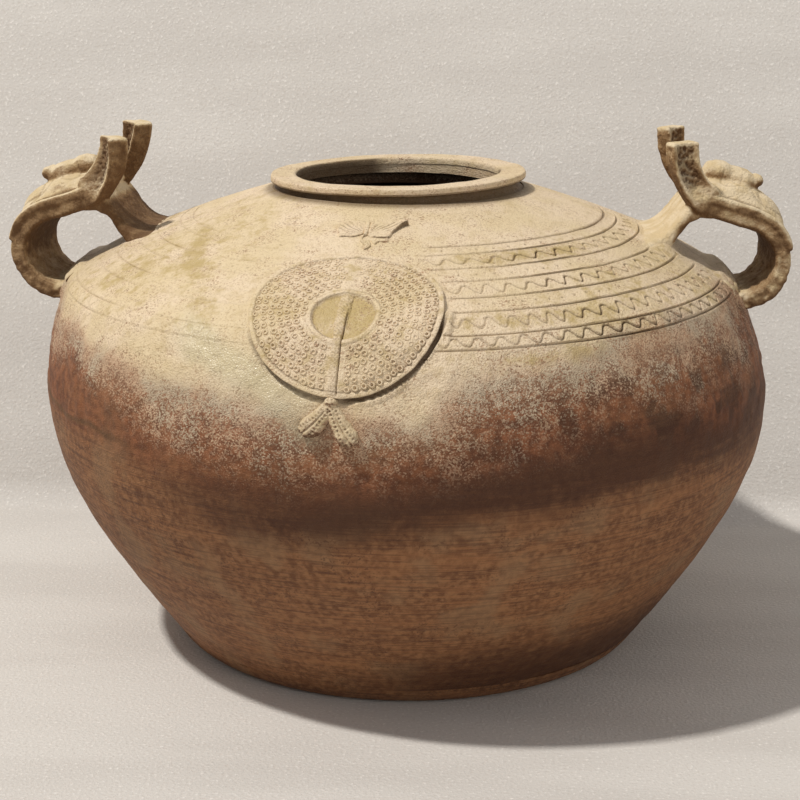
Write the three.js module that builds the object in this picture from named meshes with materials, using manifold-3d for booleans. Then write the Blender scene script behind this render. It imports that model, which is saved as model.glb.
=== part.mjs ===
// Glazed stoneware jar with two beast-mask loop handles and a stamped disc on the shoulder.
// Millimetres, +Z up. The origin is the centre of the flat base, the handles lie along X,
// and the stamped disc faces -Y.

import * as THREE from 'three';
import { mergeVertices } from 'three/addons/utils/BufferGeometryUtils.js';
import Module from 'manifold-3d';

const wasm = await Module();
wasm.setup();

// Body of the jar
const baseRadius = 118.5;
const baseThickness = 10;
const footSpread = 11.8;
const bellyRadius = 190;
const bellyHeight = 135;
const shoulderTurnInset = 15.3;
const shoulderTurnDrop = 47.8;
const neckSeatHeight = 239.2;
const wall = 8;

// Slopes of the outside of the body, and how far each slope holds its direction
const footAngle = THREE.MathUtils.degToRad(53.4);
const turnAngle = THREE.MathUtils.degToRad(117.5);
const neckAngle = THREE.MathUtils.degToRad(165);
const footPullLength = 50;
const bellyPullDownLength = 42;
const bellyPullUpLength = 33;
const turnPullDownLength = 4.5;
const turnPullUpLength = 17.2;
const neckPullLength = 26.4;

// Lean of the shoulder and the handles towards -X, growing between two heights
const lean = 5.3;
const leanFrom = 110;
const leanUpTo = 215;

// Neck and rim
const neckBore = 55.5;
const neckRadius = 63;
const neckLedge = 3;
const neckHeight = 3.7;
const rimBore = 53;
const rimRadius = 67;
const rimThickness = 3.6;
const rimRound = 1.2;

// Every joint of luted clay is this wide
const jointGap = 0.3;

// Facets round the body, and along each stretch of its outline
const bodySegments = 68;
const footSteps = 3;
const lowerSteps = 6;
const bellySteps = 4;
const shoulderSteps = 8;

// Handle loop: an elliptical arc that leaves the belly and a straight run on top of it
const loopReachOut = 22;
const loopReachUp = 21;
const loopAhead = 0.5;
const loopLift = 14.5;
const loopStart = THREE.MathUtils.degToRad(-105);
const loopSteps = 20;
const runTilt = THREE.MathUtils.degToRad(17);
const handleToeIn = THREE.MathUtils.degToRad(3.7);
const runLength = 31;
const strapWidth = 54;
const strapThickness = 8.6;
const strapRound = 1.6;

// Inner leg of the handle, down to its spread foot on the shoulder
const legThickness = 6.4;
const legAhead = 0;
const legSteps = 9;
const footUpSlope = 47;
const footStart = 0.35;
const footFlare = 17;
const footFlareInwards = 14;
const footFlareOutwards = 1.5;
const footDepth = 8;

// Mask plate on top of the loop
const plateLength = 56;
const plateOverhang = 3;
const plateThickness = 3.6;
const plateDome = 8.5;
const plateDomeReach = 0.87;
const plateBorder = 2.4;
const plateBorderRise = 0.9;
const plateSink = 1.2;
const plateThinning = 2;
const plateSteps = 12;

// Snout ridge of the mask, with rounded ends
const snoutStart = 1;
const snoutEnd = 29.5;
const snoutHalfWidth = 7.4;
const snoutKnob = 1.5;
const snoutSeat = 13;
const snoutRise = 9;
const snoutBrowRise = 3;
const snoutOuterRound = 0.17;
const snoutInnerRound = 0.1;
const snoutSteps = 12;

// Horns of the mask; the rear one is a little taller
const hornWidth = 11.5;
const hornThickness = 10.5;
const hornFlare = 2;
const hornGroove = 2.6;
const hornProud = 1.6;
const hornRiseFront = 32.5;
const hornRiseRear = 35.5;
const hornRun = 18.5;
const hornAhead = 9.5;
const hornSeat = 1.5;
const hornRootRound = 0.14;
const hornSteps = 11;

// Luting clay round the lower root of the loop
const rootPadWidth = 64;
const rootPadLength = 30;
const rootPadHeight = 3.2;
const rootPadUpSlope = -6;
const rootPadSteps = 8;

// Stamped disc, set on the shoulder below the neck
const discAzimuth = THREE.MathUtils.degToRad(-94.4);
const discDown = 98.7;
const discRadius = 44.5;
const discHalfHeight = 42.4;
const discThickness = 3;
const discBorder = 3.2;
const discField = 0.5;
const discHollowRadius = 14.4;
const discHollowDepth = 1.2;
const discRingRadius = 15.8;
const discRingDown = 2.5;
const discRingWidth = 2.2;
const discRingRise = 1;
const discSegments = 34;
const discRows = 4;

// Cord band over the disc, its knot and its two tassels
const bandWidth = 5;
const bandRise = 1.5;
const bandLean = 0.8;
const bandEndSetback = 1;
const bandSteps = 20;
const knotWidth = 9.5;
const knotLength = 6;
const knotAside = -3;
const knotHeight = 4.6;
const knotEndShare = 0.75;
const knotSteps = 5;
const leftTasselLength = 11.5;
const leftTasselSpread = 11;
const rightTasselLength = 16.5;
const rightTasselSpread = 9;
const tasselRoot = 5;
const tasselSwell = 5.4;
const tasselRootHeight = 3;
const tasselEndHeight = 8.4;
const tasselSteps = 10;

// Bow above the disc, with a lifted and pointed right tip
const bowUp = 68.5;
const bowLeftSpan = 14;
const bowRightSpan = 18;
const bowHeight = 17;
const bowThickness = 1.8;
const bowTipLift = 4;
const bowRightTip = 0.3;
const bowLeftTip = 0.8;
const bowTailLength = 11;
const bowTailWidth = 3;
const bowSteps = 5;

// Section of a ribbon: height of its edge and width of its crown, as shares of the whole
const ribbonEdge = 0.65;
const ribbonCrown = 0.62;

// How far an applied piece reaches into what it is cut by
const sinkDepth = 4;

// Planar curve helpers, with x outwards from the jar's axis and y upwards

function polar(length, angle) {
  return new THREE.Vector2(length * Math.cos(angle), length * Math.sin(angle));
}

function leftOf(direction) {
  return new THREE.Vector2(-direction.y, direction.x);
}

// Points of a curve from its start to its end, without the last one unless it is asked for
function spread(curve, steps, withEnd = false) {
  const points = curve.getSpacedPoints(steps);
  return withEnd ? points : points.slice(0, -1);
}

// Both ends of a line and every second point between them
function everySecond(points) {
  return points.filter((point, i) => i % 2 === 0 || i === points.length - 1);
}

// The line moved sideways by a distance, to the right of its direction
function offsetLine(points, distance) {
  return points.map((point, i) => {
    const before = points[Math.max(i - 1, 0)];
    const after = points[Math.min(i + 1, points.length - 1)];
    const side = leftOf(after.clone().sub(before).normalize());
    return point.clone().addScaledVector(side, -distance);
  });
}

// Share of the full size along a bar that is rounded off over its last stretch
function roundedEnd(t, stretch, least) {
  const into = Math.max(1 - (1 - t) / stretch, 0);
  return Math.max(Math.sqrt(1 - into * into), least);
}

// Outline of the body, from the foot up to the neck

const footTop = new THREE.Vector2(baseRadius + footSpread, baseThickness);
const belly = new THREE.Vector2(bellyRadius, bellyHeight);
const turn = new THREE.Vector2(bellyRadius - shoulderTurnInset, neckSeatHeight - shoulderTurnDrop);
const neckFoot = new THREE.Vector2(neckRadius + neckLedge, neckSeatHeight);

const footCurve = new THREE.QuadraticBezierCurve(
  new THREE.Vector2(baseRadius, 0),
  new THREE.Vector2(baseRadius + footSpread / 2, 0),
  footTop
);
const lowerCurve = new THREE.CubicBezierCurve(
  footTop,
  footTop.clone().add(polar(footPullLength, footAngle)),
  belly.clone().sub(new THREE.Vector2(0, bellyPullDownLength)),
  belly
);
const bellyCurve = new THREE.CubicBezierCurve(
  belly,
  belly.clone().add(new THREE.Vector2(0, bellyPullUpLength)),
  turn.clone().sub(polar(turnPullDownLength, turnAngle)),
  turn
);
const shoulderCurve = new THREE.CubicBezierCurve(
  turn,
  turn.clone().add(polar(turnPullUpLength, turnAngle)),
  neckFoot.clone().sub(polar(neckPullLength, neckAngle)),
  neckFoot
);

// Place on the outside of the body: distance down the slope from the neck, and height above it
const slope = new THREE.CurvePath();
slope.add(lowerCurve);
slope.add(bellyCurve);
slope.add(shoulderCurve);
const slopeLength = slope.getLength();

function slopePoint(down, out) {
  const at = THREE.MathUtils.clamp(1 - down / slopeLength, 0, 1);
  const direction = slope.getTangent(at).normalize();
  return slope.getPoint(at).addScaledVector(leftOf(direction), -out);
}

const turnDown = shoulderCurve.getLength();

// Solids

// Signed volume of a closed mesh: negative when its faces point inwards
function signedVolume(geometry) {
  const position = geometry.getAttribute('position');
  const index = geometry.getIndex();
  const corner = [new THREE.Vector3(), new THREE.Vector3(), new THREE.Vector3()];
  let sum = 0;
  for (let i = 0; i < index.count; i += 3) {
    corner.forEach((c, k) => c.fromBufferAttribute(position, index.getX(i + k)));
    sum += corner[0].dot(corner[1].clone().cross(corner[2]));
  }
  return sum / 6;
}

// A closed mesh with shared vertices, no empty triangles and its faces outwards
function closed(geometry) {
  const bare = geometry.clone();
  bare.deleteAttribute('normal');
  bare.deleteAttribute('uv');
  const merged = mergeVertices(bare, 1e-3);
  const source = merged.getIndex();
  const kept = [];
  for (let i = 0; i < source.count; i += 3) {
    const [a, b, c] = [source.getX(i), source.getX(i + 1), source.getX(i + 2)];
    if (a !== b && b !== c && c !== a) kept.push(a, b, c);
  }
  merged.setIndex(kept);
  if (signedVolume(merged) < 0) {
    for (let i = 0; i < kept.length; i += 3) {
      [kept[i + 1], kept[i + 2]] = [kept[i + 2], kept[i + 1]];
    }
    merged.setIndex(kept);
  }
  return merged;
}

function toManifold(geometry) {
  const mesh = closed(geometry);
  const vertProperties = new Float32Array(mesh.getAttribute('position').array);
  const triVerts = new Uint32Array(mesh.getIndex().array);
  return new wasm.Manifold(new wasm.Mesh({ numProp: 3, vertProperties, triVerts }));
}

function toGeometry(manifold) {
  const mesh = manifold.getMesh();
  const geometry = new THREE.BufferGeometry();
  geometry.setAttribute('position', new THREE.BufferAttribute(new Float32Array(mesh.vertProperties), 3));
  geometry.setIndex(new THREE.BufferAttribute(new Uint32Array(mesh.triVerts), 1));
  return geometry;
}

// A piece of clay with the room of its neighbours cut away
function cutBy(geometry, ...neighbours) {
  let solid = toManifold(geometry);
  neighbours.forEach((neighbour) => {
    solid = solid.subtract(toManifold(neighbour));
  });
  return toGeometry(solid);
}

// A profile turned round the Z axis, in points of radius and height
function turned(profile, segments) {
  const lathe = new THREE.LatheGeometry(profile, segments);
  lathe.rotateX(Math.PI / 2);
  return closed(lathe);
}

function turnedRing(profile, segments) {
  return turned([...profile, profile[0]], segments);
}

// A skin over rings of equal length, closed at both ends by the shape of the outline
function loft(rings, outline) {
  const count = outline.length;
  const positions = rings.flat().flatMap((p) => [p.x, p.y, p.z]);
  const index = [];
  for (let i = 0; i + 1 < rings.length; i += 1) {
    for (let j = 0; j < count; j += 1) {
      const a = i * count + j;
      const b = i * count + ((j + 1) % count);
      index.push(a, b, b + count, a, b + count, a + count);
    }
  }
  const last = (rings.length - 1) * count;
  THREE.ShapeUtils.triangulateShape(outline, []).forEach(([a, b, c]) => {
    index.push(c, b, a, last + a, last + b, last + c);
  });
  const geometry = new THREE.BufferGeometry();
  geometry.setAttribute('position', new THREE.Float32BufferAttribute(positions, 3));
  geometry.setIndex(index);
  return closed(geometry);
}

// Flat sections swept along a line in the XZ plane; each point is across it and to its left
function sweep(steps, frameAt, sectionAt) {
  const outline = sectionAt(0.5).map(([across, height]) => new THREE.Vector2(across, height));
  const rings = [];
  for (let i = 0; i <= steps; i += 1) {
    const t = i / steps;
    const { centre, direction } = frameAt(t);
    const left = leftOf(direction);
    rings.push(sectionAt(t).map(([across, height]) => {
      const place = centre.clone().addScaledVector(left, height);
      return new THREE.Vector3(place.x, across, place.y);
    }));
  }
  return loft(rings, outline);
}

// A flat piece bent onto the shoulder: x runs across, y up the slope and z out of the clay
function drape(geometry, azimuth, down) {
  const bent = geometry.clone();
  const position = bent.getAttribute('position');
  for (let i = 0; i < position.count; i += 1) {
    const at = down - position.getY(i);
    const radius = slopePoint(at, 0).x;
    const place = slopePoint(at, position.getZ(i));
    const angle = azimuth + position.getX(i) / radius;
    position.setXYZ(i, place.x * Math.cos(angle), place.x * Math.sin(angle), place.y);
  }
  return closed(bent);
}

// A flat ribbon with rounded shoulders along a path in the plane, for bands, tassels and bows
function ribbon(path, steps, halfWidthAt, topAt, bottom) {
  const outline = [
    [-1, 0], [1, 0], [1, ribbonEdge], [ribbonCrown, 1], [-ribbonCrown, 1], [-1, ribbonEdge]
  ];
  const rings = [];
  for (let i = 0; i <= steps; i += 1) {
    const t = i / steps;
    const centre = path.getPointAt(t);
    const side = leftOf(path.getTangentAt(t));
    rings.push(outline.map(([across, up]) => {
      const flat = centre.clone().addScaledVector(side, across * halfWidthAt(t));
      return new THREE.Vector3(flat.x, flat.y, up > 0 ? topAt(t) * up : bottom);
    }));
  }
  return loft(rings, outline.map(([x, y]) => new THREE.Vector2(x, y)));
}

// Body pieces

const baseSolid = turned(
  [new THREE.Vector2(0, 0), ...spread(footCurve, footSteps, true), new THREE.Vector2(0, baseThickness)],
  bodySegments
);

function lowerShell() {
  const outer = spread(lowerCurve, lowerSteps, true);
  outer[0].y = baseThickness + jointGap;
  const inner = everySecond(offsetLine(outer, -wall)).reverse();
  inner[0].y = bellyHeight;
  inner[inner.length - 1].y = outer[0].y;
  return turnedRing([...outer, ...inner], bodySegments);
}

const upperLine = [...spread(bellyCurve, bellySteps), ...spread(shoulderCurve, shoulderSteps, true)];
const jarLine = [...spread(lowerCurve, lowerSteps), ...upperLine];

function shoulderShell() {
  const inner = everySecond(offsetLine(upperLine, -wall)).reverse();
  const bore = [new THREE.Vector2(neckBore, neckSeatHeight), new THREE.Vector2(neckBore, inner[0].y)];
  const joint = bellyHeight + jointGap;
  const foot = [new THREE.Vector2(bellyRadius, joint), new THREE.Vector2(bellyRadius - wall, joint)];
  return turnedRing([foot[0], ...upperLine.slice(1), ...bore, ...inner.slice(0, -1), foot[1]], bodySegments);
}

const neckBottom = neckSeatHeight + jointGap;
const neckTop = neckBottom + neckHeight;
const neckSolid = turnedRing([
  new THREE.Vector2(neckBore, neckBottom),
  new THREE.Vector2(neckRadius, neckBottom),
  new THREE.Vector2(neckRadius, neckTop),
  new THREE.Vector2(neckBore, neckTop)
], bodySegments);

const rimBottom = neckTop + jointGap;
const rimTop = rimBottom + rimThickness;
const rimSolid = turnedRing([
  new THREE.Vector2(rimBore, rimBottom),
  new THREE.Vector2(rimRadius - rimRound, rimBottom),
  new THREE.Vector2(rimRadius, rimBottom + rimRound),
  new THREE.Vector2(rimRadius, rimTop - rimRound),
  new THREE.Vector2(rimRadius - rimRound, rimTop),
  new THREE.Vector2(rimBore + rimRound, rimTop),
  new THREE.Vector2(rimBore, rimTop - rimRound)
], bodySegments);

// Solid room of the jar and its joint gap, which every applied piece is cut by
const jarRoom = turned([
  new THREE.Vector2(0, jarLine[0].y),
  ...offsetLine(jarLine, jointGap),
  new THREE.Vector2(0, neckSeatHeight + jointGap)
], bodySegments);

// Disc, band, knot, tassels and bow, each flat first and then bent onto the shoulder

function onDisc(flat) {
  return drape(flat, discAzimuth, discDown);
}

// Rows between two radii, so that a flat face can follow the bend of the shoulder
function rowsBetween(from, to, height) {
  const rows = [];
  for (let k = 1; k < discRows; k += 1) {
    rows.push(new THREE.Vector2(THREE.MathUtils.lerp(from, to, k / discRows), height));
  }
  return rows;
}

const discTop = discThickness - discField;

function discHollow() {
  const floor = discTop - discHollowDepth;
  return onDisc(turned([
    new THREE.Vector2(0, floor),
    new THREE.Vector2(discHollowRadius - discHollowDepth, floor),
    new THREE.Vector2(discHollowRadius + discHollowDepth, discTop + discHollowDepth),
    new THREE.Vector2(0, discTop + discHollowDepth)
  ], discSegments).translate(0, -discRingDown, 0));
}

function disc(grow) {
  const edge = discRadius + grow;
  const field = discTop + grow;
  const border = edge - discBorder;
  const flat = turned([
    new THREE.Vector2(0, -sinkDepth),
    ...rowsBetween(0, edge, -sinkDepth),
    new THREE.Vector2(edge, -sinkDepth),
    new THREE.Vector2(edge, discThickness + grow),
    new THREE.Vector2(border, discThickness + grow),
    new THREE.Vector2(border - discField, field),
    ...rowsBetween(border, 0, field),
    new THREE.Vector2(0, field)
  ], discSegments);
  return onDisc(flat.scale(1, discHalfHeight / discRadius, 1));
}

const discRoom = disc(jointGap);

function discRing(grow) {
  const inner = discRingRadius - discRingWidth / 2 - grow;
  const outer = discRingRadius + discRingWidth / 2 + grow;
  const edge = discTop + discRingRise / 2 + grow;
  return onDisc(turnedRing([
    new THREE.Vector2(inner, 0),
    new THREE.Vector2(outer, 0),
    new THREE.Vector2(outer, edge),
    new THREE.Vector2(discRingRadius, discTop + discRingRise + grow),
    new THREE.Vector2(inner, edge)
  ], discSegments).translate(0, -discRingDown, 0));
}

function band() {
  const path = new THREE.QuadraticBezierCurve(
    new THREE.Vector2(-bandLean, discHalfHeight - discBorder),
    new THREE.Vector2(-knotAside / 2, discHalfHeight / 4),
    new THREE.Vector2(knotAside, bandEndSetback - discHalfHeight)
  );
  return onDisc(ribbon(path, bandSteps, () => bandWidth / 2, () => discThickness + bandRise, 0));
}

// The knot starts two gaps below the edge of the disc
const knotTop = -discHalfHeight - 2 * jointGap;

function knot(grow) {
  const path = new THREE.LineCurve(
    new THREE.Vector2(knotAside, knotTop + grow),
    new THREE.Vector2(knotAside, knotTop - knotLength - grow)
  );
  const width = (t) => knotWidth / 2 * THREE.MathUtils.lerp(knotEndShare, 1, Math.sin(Math.PI * t)) + grow;
  return onDisc(ribbon(path, knotSteps, width, () => knotHeight + grow, -sinkDepth));
}

function tassel(side, length, reach) {
  const start = new THREE.Vector2(knotAside + side * tasselRoot / 2, knotTop - knotLength / 2);
  const path = new THREE.QuadraticBezierCurve(
    start,
    start.clone().add(new THREE.Vector2(side * reach / 3, -length / 2)),
    start.clone().add(new THREE.Vector2(side * reach, -length))
  );
  const blunt = (t) => roundedEnd(t, 0.25, 0.3);
  const width = (t) => THREE.MathUtils.lerp(tasselRoot / 2, tasselSwell, Math.sqrt(t)) * blunt(t);
  const height = (t) => THREE.MathUtils.lerp(tasselRootHeight, tasselEndHeight, t) * (1 + 2 * blunt(t)) / 3;
  return onDisc(ribbon(path, tasselSteps, width, height, -sinkDepth));
}

// A thin wall below the knot keeps the two tassels one gap apart
const tasselParting = onDisc(ribbon(
  new THREE.LineCurve(
    new THREE.Vector2(knotAside, knotTop),
    new THREE.Vector2(knotAside, knotTop - knotLength - rightTasselLength)
  ),
  knotSteps,
  () => jointGap / 2,
  () => 2 * tasselEndHeight,
  -2 * sinkDepth
));

function cutTassel(side, length, reach) {
  return cutBy(tassel(side, length, reach), jarRoom, knot(jointGap), tasselParting);
}

function bowWing(side, grow) {
  const [reach, tip, lift] = side > 0
    ? [bowRightSpan, bowRightTip, bowTipLift]
    : [bowLeftSpan, bowLeftTip, 0];
  const path = new THREE.QuadraticBezierCurve(
    new THREE.Vector2(side * (jointGap / 2 - grow), bowUp),
    new THREE.Vector2(side * reach / 2, bowUp),
    new THREE.Vector2(side * (reach + grow), bowUp + lift)
  );
  const width = (t) => bowHeight / 2 * THREE.MathUtils.lerp(1, tip, t * t) + grow;
  return onDisc(ribbon(path, bowSteps, width, () => bowThickness + grow, -sinkDepth));
}

function bowTail(side) {
  const top = bowUp - bowHeight / 2;
  const path = new THREE.QuadraticBezierCurve(
    new THREE.Vector2(0, top),
    new THREE.Vector2(side * bowTailWidth * 2, top - bowTailLength / 2),
    new THREE.Vector2(side * bowTailWidth, top - bowTailLength)
  );
  return toManifold(onDisc(ribbon(path, bowSteps, () => bowTailWidth / 2, () => bowThickness, -sinkDepth)));
}

const bowTails = cutBy(
  toGeometry(bowTail(-1).add(bowTail(1))),
  jarRoom, discRoom, bowWing(-1, jointGap), bowWing(1, jointGap)
);

// Handles, built for the +X side and mirrored for the other one

const loopCentre = turn.clone().add(new THREE.Vector2(loopAhead, loopLift));
const loopTop = Math.atan2(loopReachUp, loopReachOut * Math.tan(runTilt));
const loopArc = new THREE.EllipseCurve(
  loopCentre.x, loopCentre.y, loopReachOut, loopReachUp, loopTop, loopStart, true
);
const runEnd = loopArc.getPoint(0);
const runStart = runEnd.clone().add(polar(runLength, Math.PI - runTilt));
const strapLine = new THREE.CurvePath();
strapLine.add(new THREE.LineCurve(runStart, runEnd));
strapLine.add(loopArc);
const strapLength = strapLine.getLength();

// A sweep turned about an upright line through the loop, so that the handle toes in at the rear
function handleSweep(steps, frameAt, sectionAt) {
  const geometry = sweep(steps, frameAt, sectionAt);
  return geometry.translate(-loopCentre.x, 0, 0).rotateZ(handleToeIn).translate(loopCentre.x, 0, 0);
}

// A section swept along the strap, in points across it and out of its middle surface
function alongStrap(from, to, steps, sectionAt) {
  return handleSweep(steps, (t) => {
    const distance = THREE.MathUtils.lerp(from, to, t);
    const at = THREE.MathUtils.clamp(distance / strapLength, 0, 1);
    const direction = strapLine.getTangent(at).normalize();
    return { direction, centre: strapLine.getPoint(at).addScaledVector(direction, Math.min(distance, 0)) };
  }, sectionAt);
}

// A bar section with its four edges rounded off
function barSection(halfWidth, low, high, round) {
  return [
    [-halfWidth, low + round], [-halfWidth + round, low], [halfWidth - round, low], [halfWidth, low + round],
    [halfWidth, high - round], [halfWidth - round, high], [-halfWidth + round, high], [-halfWidth, high - round]
  ];
}

const strapHalf = strapThickness / 2;

function strap(grow) {
  const section = barSection(strapWidth / 2 + grow, -strapHalf - grow, strapHalf + grow, strapRound);
  return alongStrap(0, strapLength, loopSteps, () => section);
}

// Plate of the mask: flat below, with a raised border and domed cheeks above
function plate(grow) {
  const low = strapHalf - plateSink - grow;
  const full = low + plateThickness + 2 * grow;
  const half = strapWidth / 2 + grow;
  const inside = half - plateBorder;
  const cheeks = [[1 / 3, 1], [2 / 3, 2 / 3]];
  const section = (t) => {
    const dome = plateDome * Math.sqrt(Math.sin(Math.PI * Math.min(t / plateDomeReach, 1)));
    const high = full - plateThinning * t ** 4;
    const right = [...cheeks].reverse().map(([across, up]) => [inside * across, high + dome * up]);
    const left = cheeks.map(([across, up]) => [-inside * across, high + dome * up]);
    return [
      [-half, low], [half, low], [half, high + plateBorderRise], [inside, high + plateBorderRise],
      [inside - plateBorderRise, high], ...right, ...left,
      [-inside + plateBorderRise, high], [-inside, high + plateBorderRise], [-half, high + plateBorderRise]
    ];
  };
  return alongStrap(-plateOverhang - grow, plateLength - plateOverhang + grow, plateSteps, section);
}

// Snout ridge: a thick rounded bar with a knob at its outer end
function snout() {
  const section = (t) => {
    const rounding = roundedEnd(t, snoutOuterRound, 0.1) * roundedEnd(1 - t, snoutInnerRound, 0.3);
    const half = (snoutHalfWidth + snoutKnob * t) * rounding;
    const rise = (snoutRise + snoutBrowRise * Math.sin(Math.PI * t)) * (1 + 2 * rounding) / 3;
    return [
      [-half, snoutSeat - sinkDepth], [half, snoutSeat - sinkDepth],
      [half, snoutSeat + rise / 3], [half * 0.8, snoutSeat + rise * 0.75], [half / 3, snoutSeat + rise],
      [-half / 3, snoutSeat + rise], [-half * 0.8, snoutSeat + rise * 0.75], [-half, snoutSeat + rise / 3]
    ];
  };
  return alongStrap(snoutStart, snoutEnd, snoutSteps, section);
}

// Horn: a square bar curling up from the inner corner of the plate, hollowed on its outer face
function horn(side, grow) {
  const rise = side < 0 ? hornRiseFront : hornRiseRear;
  const foot = runStart.clone().add(new THREE.Vector2(hornAhead, -hornSeat));
  const curve = new THREE.CubicBezierCurve(
    foot,
    foot.clone().add(new THREE.Vector2(-hornRun * 0.6, rise * 0.2)),
    foot.clone().add(new THREE.Vector2(-hornRun, rise * 0.5)),
    foot.clone().add(new THREE.Vector2(-hornRun, rise))
  );
  const middle = side * ((strapWidth - hornWidth) / 2 + hornProud);
  const frameAt = (t) => {
    const direction = curve.getTangentAt(t);
    return { direction, centre: curve.getPointAt(t).addScaledVector(direction, (2 * t - 1) * grow) };
  };
  return handleSweep(hornSteps, frameAt, (t) => {
    const rounding = roundedEnd(1 - t, hornRootRound, 0.45);
    const half = hornWidth / 2 * rounding + grow;
    const deep = (hornThickness + hornFlare * t) / 2 * rounding + grow;
    const floor = hornGroove * Math.min(t * 3, 1) - deep;
    return [
      [middle - half, deep], [middle - half, -deep], [middle - half / 2, floor],
      [middle + half / 2, floor], [middle + half, -deep], [middle + half, deep]
    ];
  });
}

// Inner leg: from under the plate down to the shoulder, where it spreads into a foot
function leg(grow) {
  const curve = new THREE.LineCurve(
    runStart.clone().add(new THREE.Vector2(legAhead, strapHalf)),
    slopePoint(turnDown - footUpSlope, -footDepth)
  );
  const frameAt = (t) => ({ direction: curve.getTangentAt(t), centre: curve.getPointAt(t) });
  return handleSweep(legSteps, frameAt, (t) => {
    const flare = Math.max((t - footStart) / (1 - footStart), 0) ** 3;
    const half = strapWidth / 2 + footFlare * flare + grow;
    const inwards = legThickness / 2 + footFlareInwards * flare + grow;
    const outwards = legThickness / 2 + footFlareOutwards * flare + grow;
    return barSection(half, -inwards, outwards, strapRound * (1 + 2 * flare));
  });
}

// Luting clay: a low pad bent onto the turn of the shoulder, open where the strap goes through
function rootPad() {
  const half = rootPadWidth / 2;
  const path = new THREE.LineCurve(
    new THREE.Vector2(-half, rootPadUpSlope),
    new THREE.Vector2(half, rootPadUpSlope)
  );
  const rounding = (t) => Math.sqrt(Math.max(1 - (2 * t - 1) ** 4, 0.02));
  const halfLength = (t) => rootPadLength / 2 * rounding(t);
  const height = (t) => rootPadHeight * rounding(t);
  return drape(ribbon(path, rootPadSteps, halfLength, height, -sinkDepth), 0, turnDown);
}

const hornRooms = [horn(-1, jointGap), horn(1, jointGap)];
const plateRoom = plate(jointGap);
const handlePieces = {
  strap: cutBy(strap(0), jarRoom, plateRoom, leg(jointGap), ...hornRooms),
  inner_leg: cutBy(leg(0), jarRoom, plateRoom, ...hornRooms),
  mask_plate: cutBy(plate(0), ...hornRooms),
  mask_snout: cutBy(snout(), plateRoom, ...hornRooms),
  front_horn: horn(-1, 0),
  rear_horn: horn(1, 0),
  root_clay: cutBy(rootPad(), jarRoom, strap(jointGap))
};

// Finishes

function clay(colour, roughness) {
  return new THREE.MeshStandardMaterial({ color: colour, roughness, metalness: 0 });
}

const finishes = {
  ashGlaze: () => clay(0xdcc8a4, 0.6),
  handleGlaze: () => clay(0xd3c0a0, 0.65),
  discGlaze: () => clay(0xd8c29a, 0.55),
  rimGlaze: () => clay(0xccb798, 0.6),
  bareClay: () => clay(0x7a553b, 0.8)
};

// Assembly: every piece takes the lean of the jar at its own height

function leaned(geometry) {
  const moved = closed(geometry);
  const position = moved.getAttribute('position');
  for (let i = 0; i < position.count; i += 1) {
    const share = THREE.MathUtils.smoothstep(position.getZ(i), leanFrom, leanUpTo);
    position.setX(i, position.getX(i) - lean * share);
  }
  moved.computeVertexNormals();
  return moved;
}

const jar = new THREE.Group();

function addPiece(parent, name, geometry, material) {
  const mesh = new THREE.Mesh(leaned(geometry), material);
  mesh.name = name;
  parent.add(mesh);
}

const leftTassel = cutTassel(-1, leftTasselLength, leftTasselSpread);
const rightTassel = cutTassel(1, rightTasselLength, rightTasselSpread);

addPiece(jar, 'base_disc', baseSolid, finishes.bareClay());
addPiece(jar, 'lower_body', lowerShell(), finishes.bareClay());
addPiece(jar, 'shoulder', shoulderShell(), finishes.ashGlaze());
addPiece(jar, 'neck_ring', neckSolid, finishes.rimGlaze());
addPiece(jar, 'rim_ring', rimSolid, finishes.rimGlaze());
addPiece(jar, 'shoulder_disc', cutBy(disc(0), jarRoom, discHollow()), finishes.discGlaze());
addPiece(jar, 'disc_ring', cutBy(discRing(0), discRoom), finishes.discGlaze());
addPiece(jar, 'disc_band', cutBy(band(), discRoom, discRing(jointGap), jarRoom), finishes.discGlaze());
addPiece(jar, 'band_knot', cutBy(knot(0), jarRoom), finishes.discGlaze());
addPiece(jar, 'left_tassel', leftTassel, finishes.discGlaze());
addPiece(jar, 'right_tassel', rightTassel, finishes.discGlaze());
addPiece(jar, 'bow_left_wing', cutBy(bowWing(-1, 0), jarRoom), finishes.ashGlaze());
addPiece(jar, 'bow_right_wing', cutBy(bowWing(1, 0), jarRoom), finishes.ashGlaze());
addPiece(jar, 'bow_tails', bowTails, finishes.ashGlaze());

[['right', 1], ['left', -1]].forEach(([side, sign]) => {
  const handle = new THREE.Group();
  Object.entries(handlePieces).forEach(([piece, geometry]) => {
    addPiece(handle, `${side}_${piece}`, geometry.clone().scale(sign, 1, 1), finishes.handleGlaze());
  });
  jar.add(handle);
});

export default jar;
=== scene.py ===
"""Glazed stoneware jar with beast-mask loop handles and a stamped disc, dressed for the render.

The frame is the part's own: +Z up, the handles along X and the stamped disc facing -Y. Sizes in
the classes are millimetres, as a potter would take them, and become metres in mesh_object.
"""
import logging
import math
from dataclasses import dataclass, field
from enum import Enum

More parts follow.
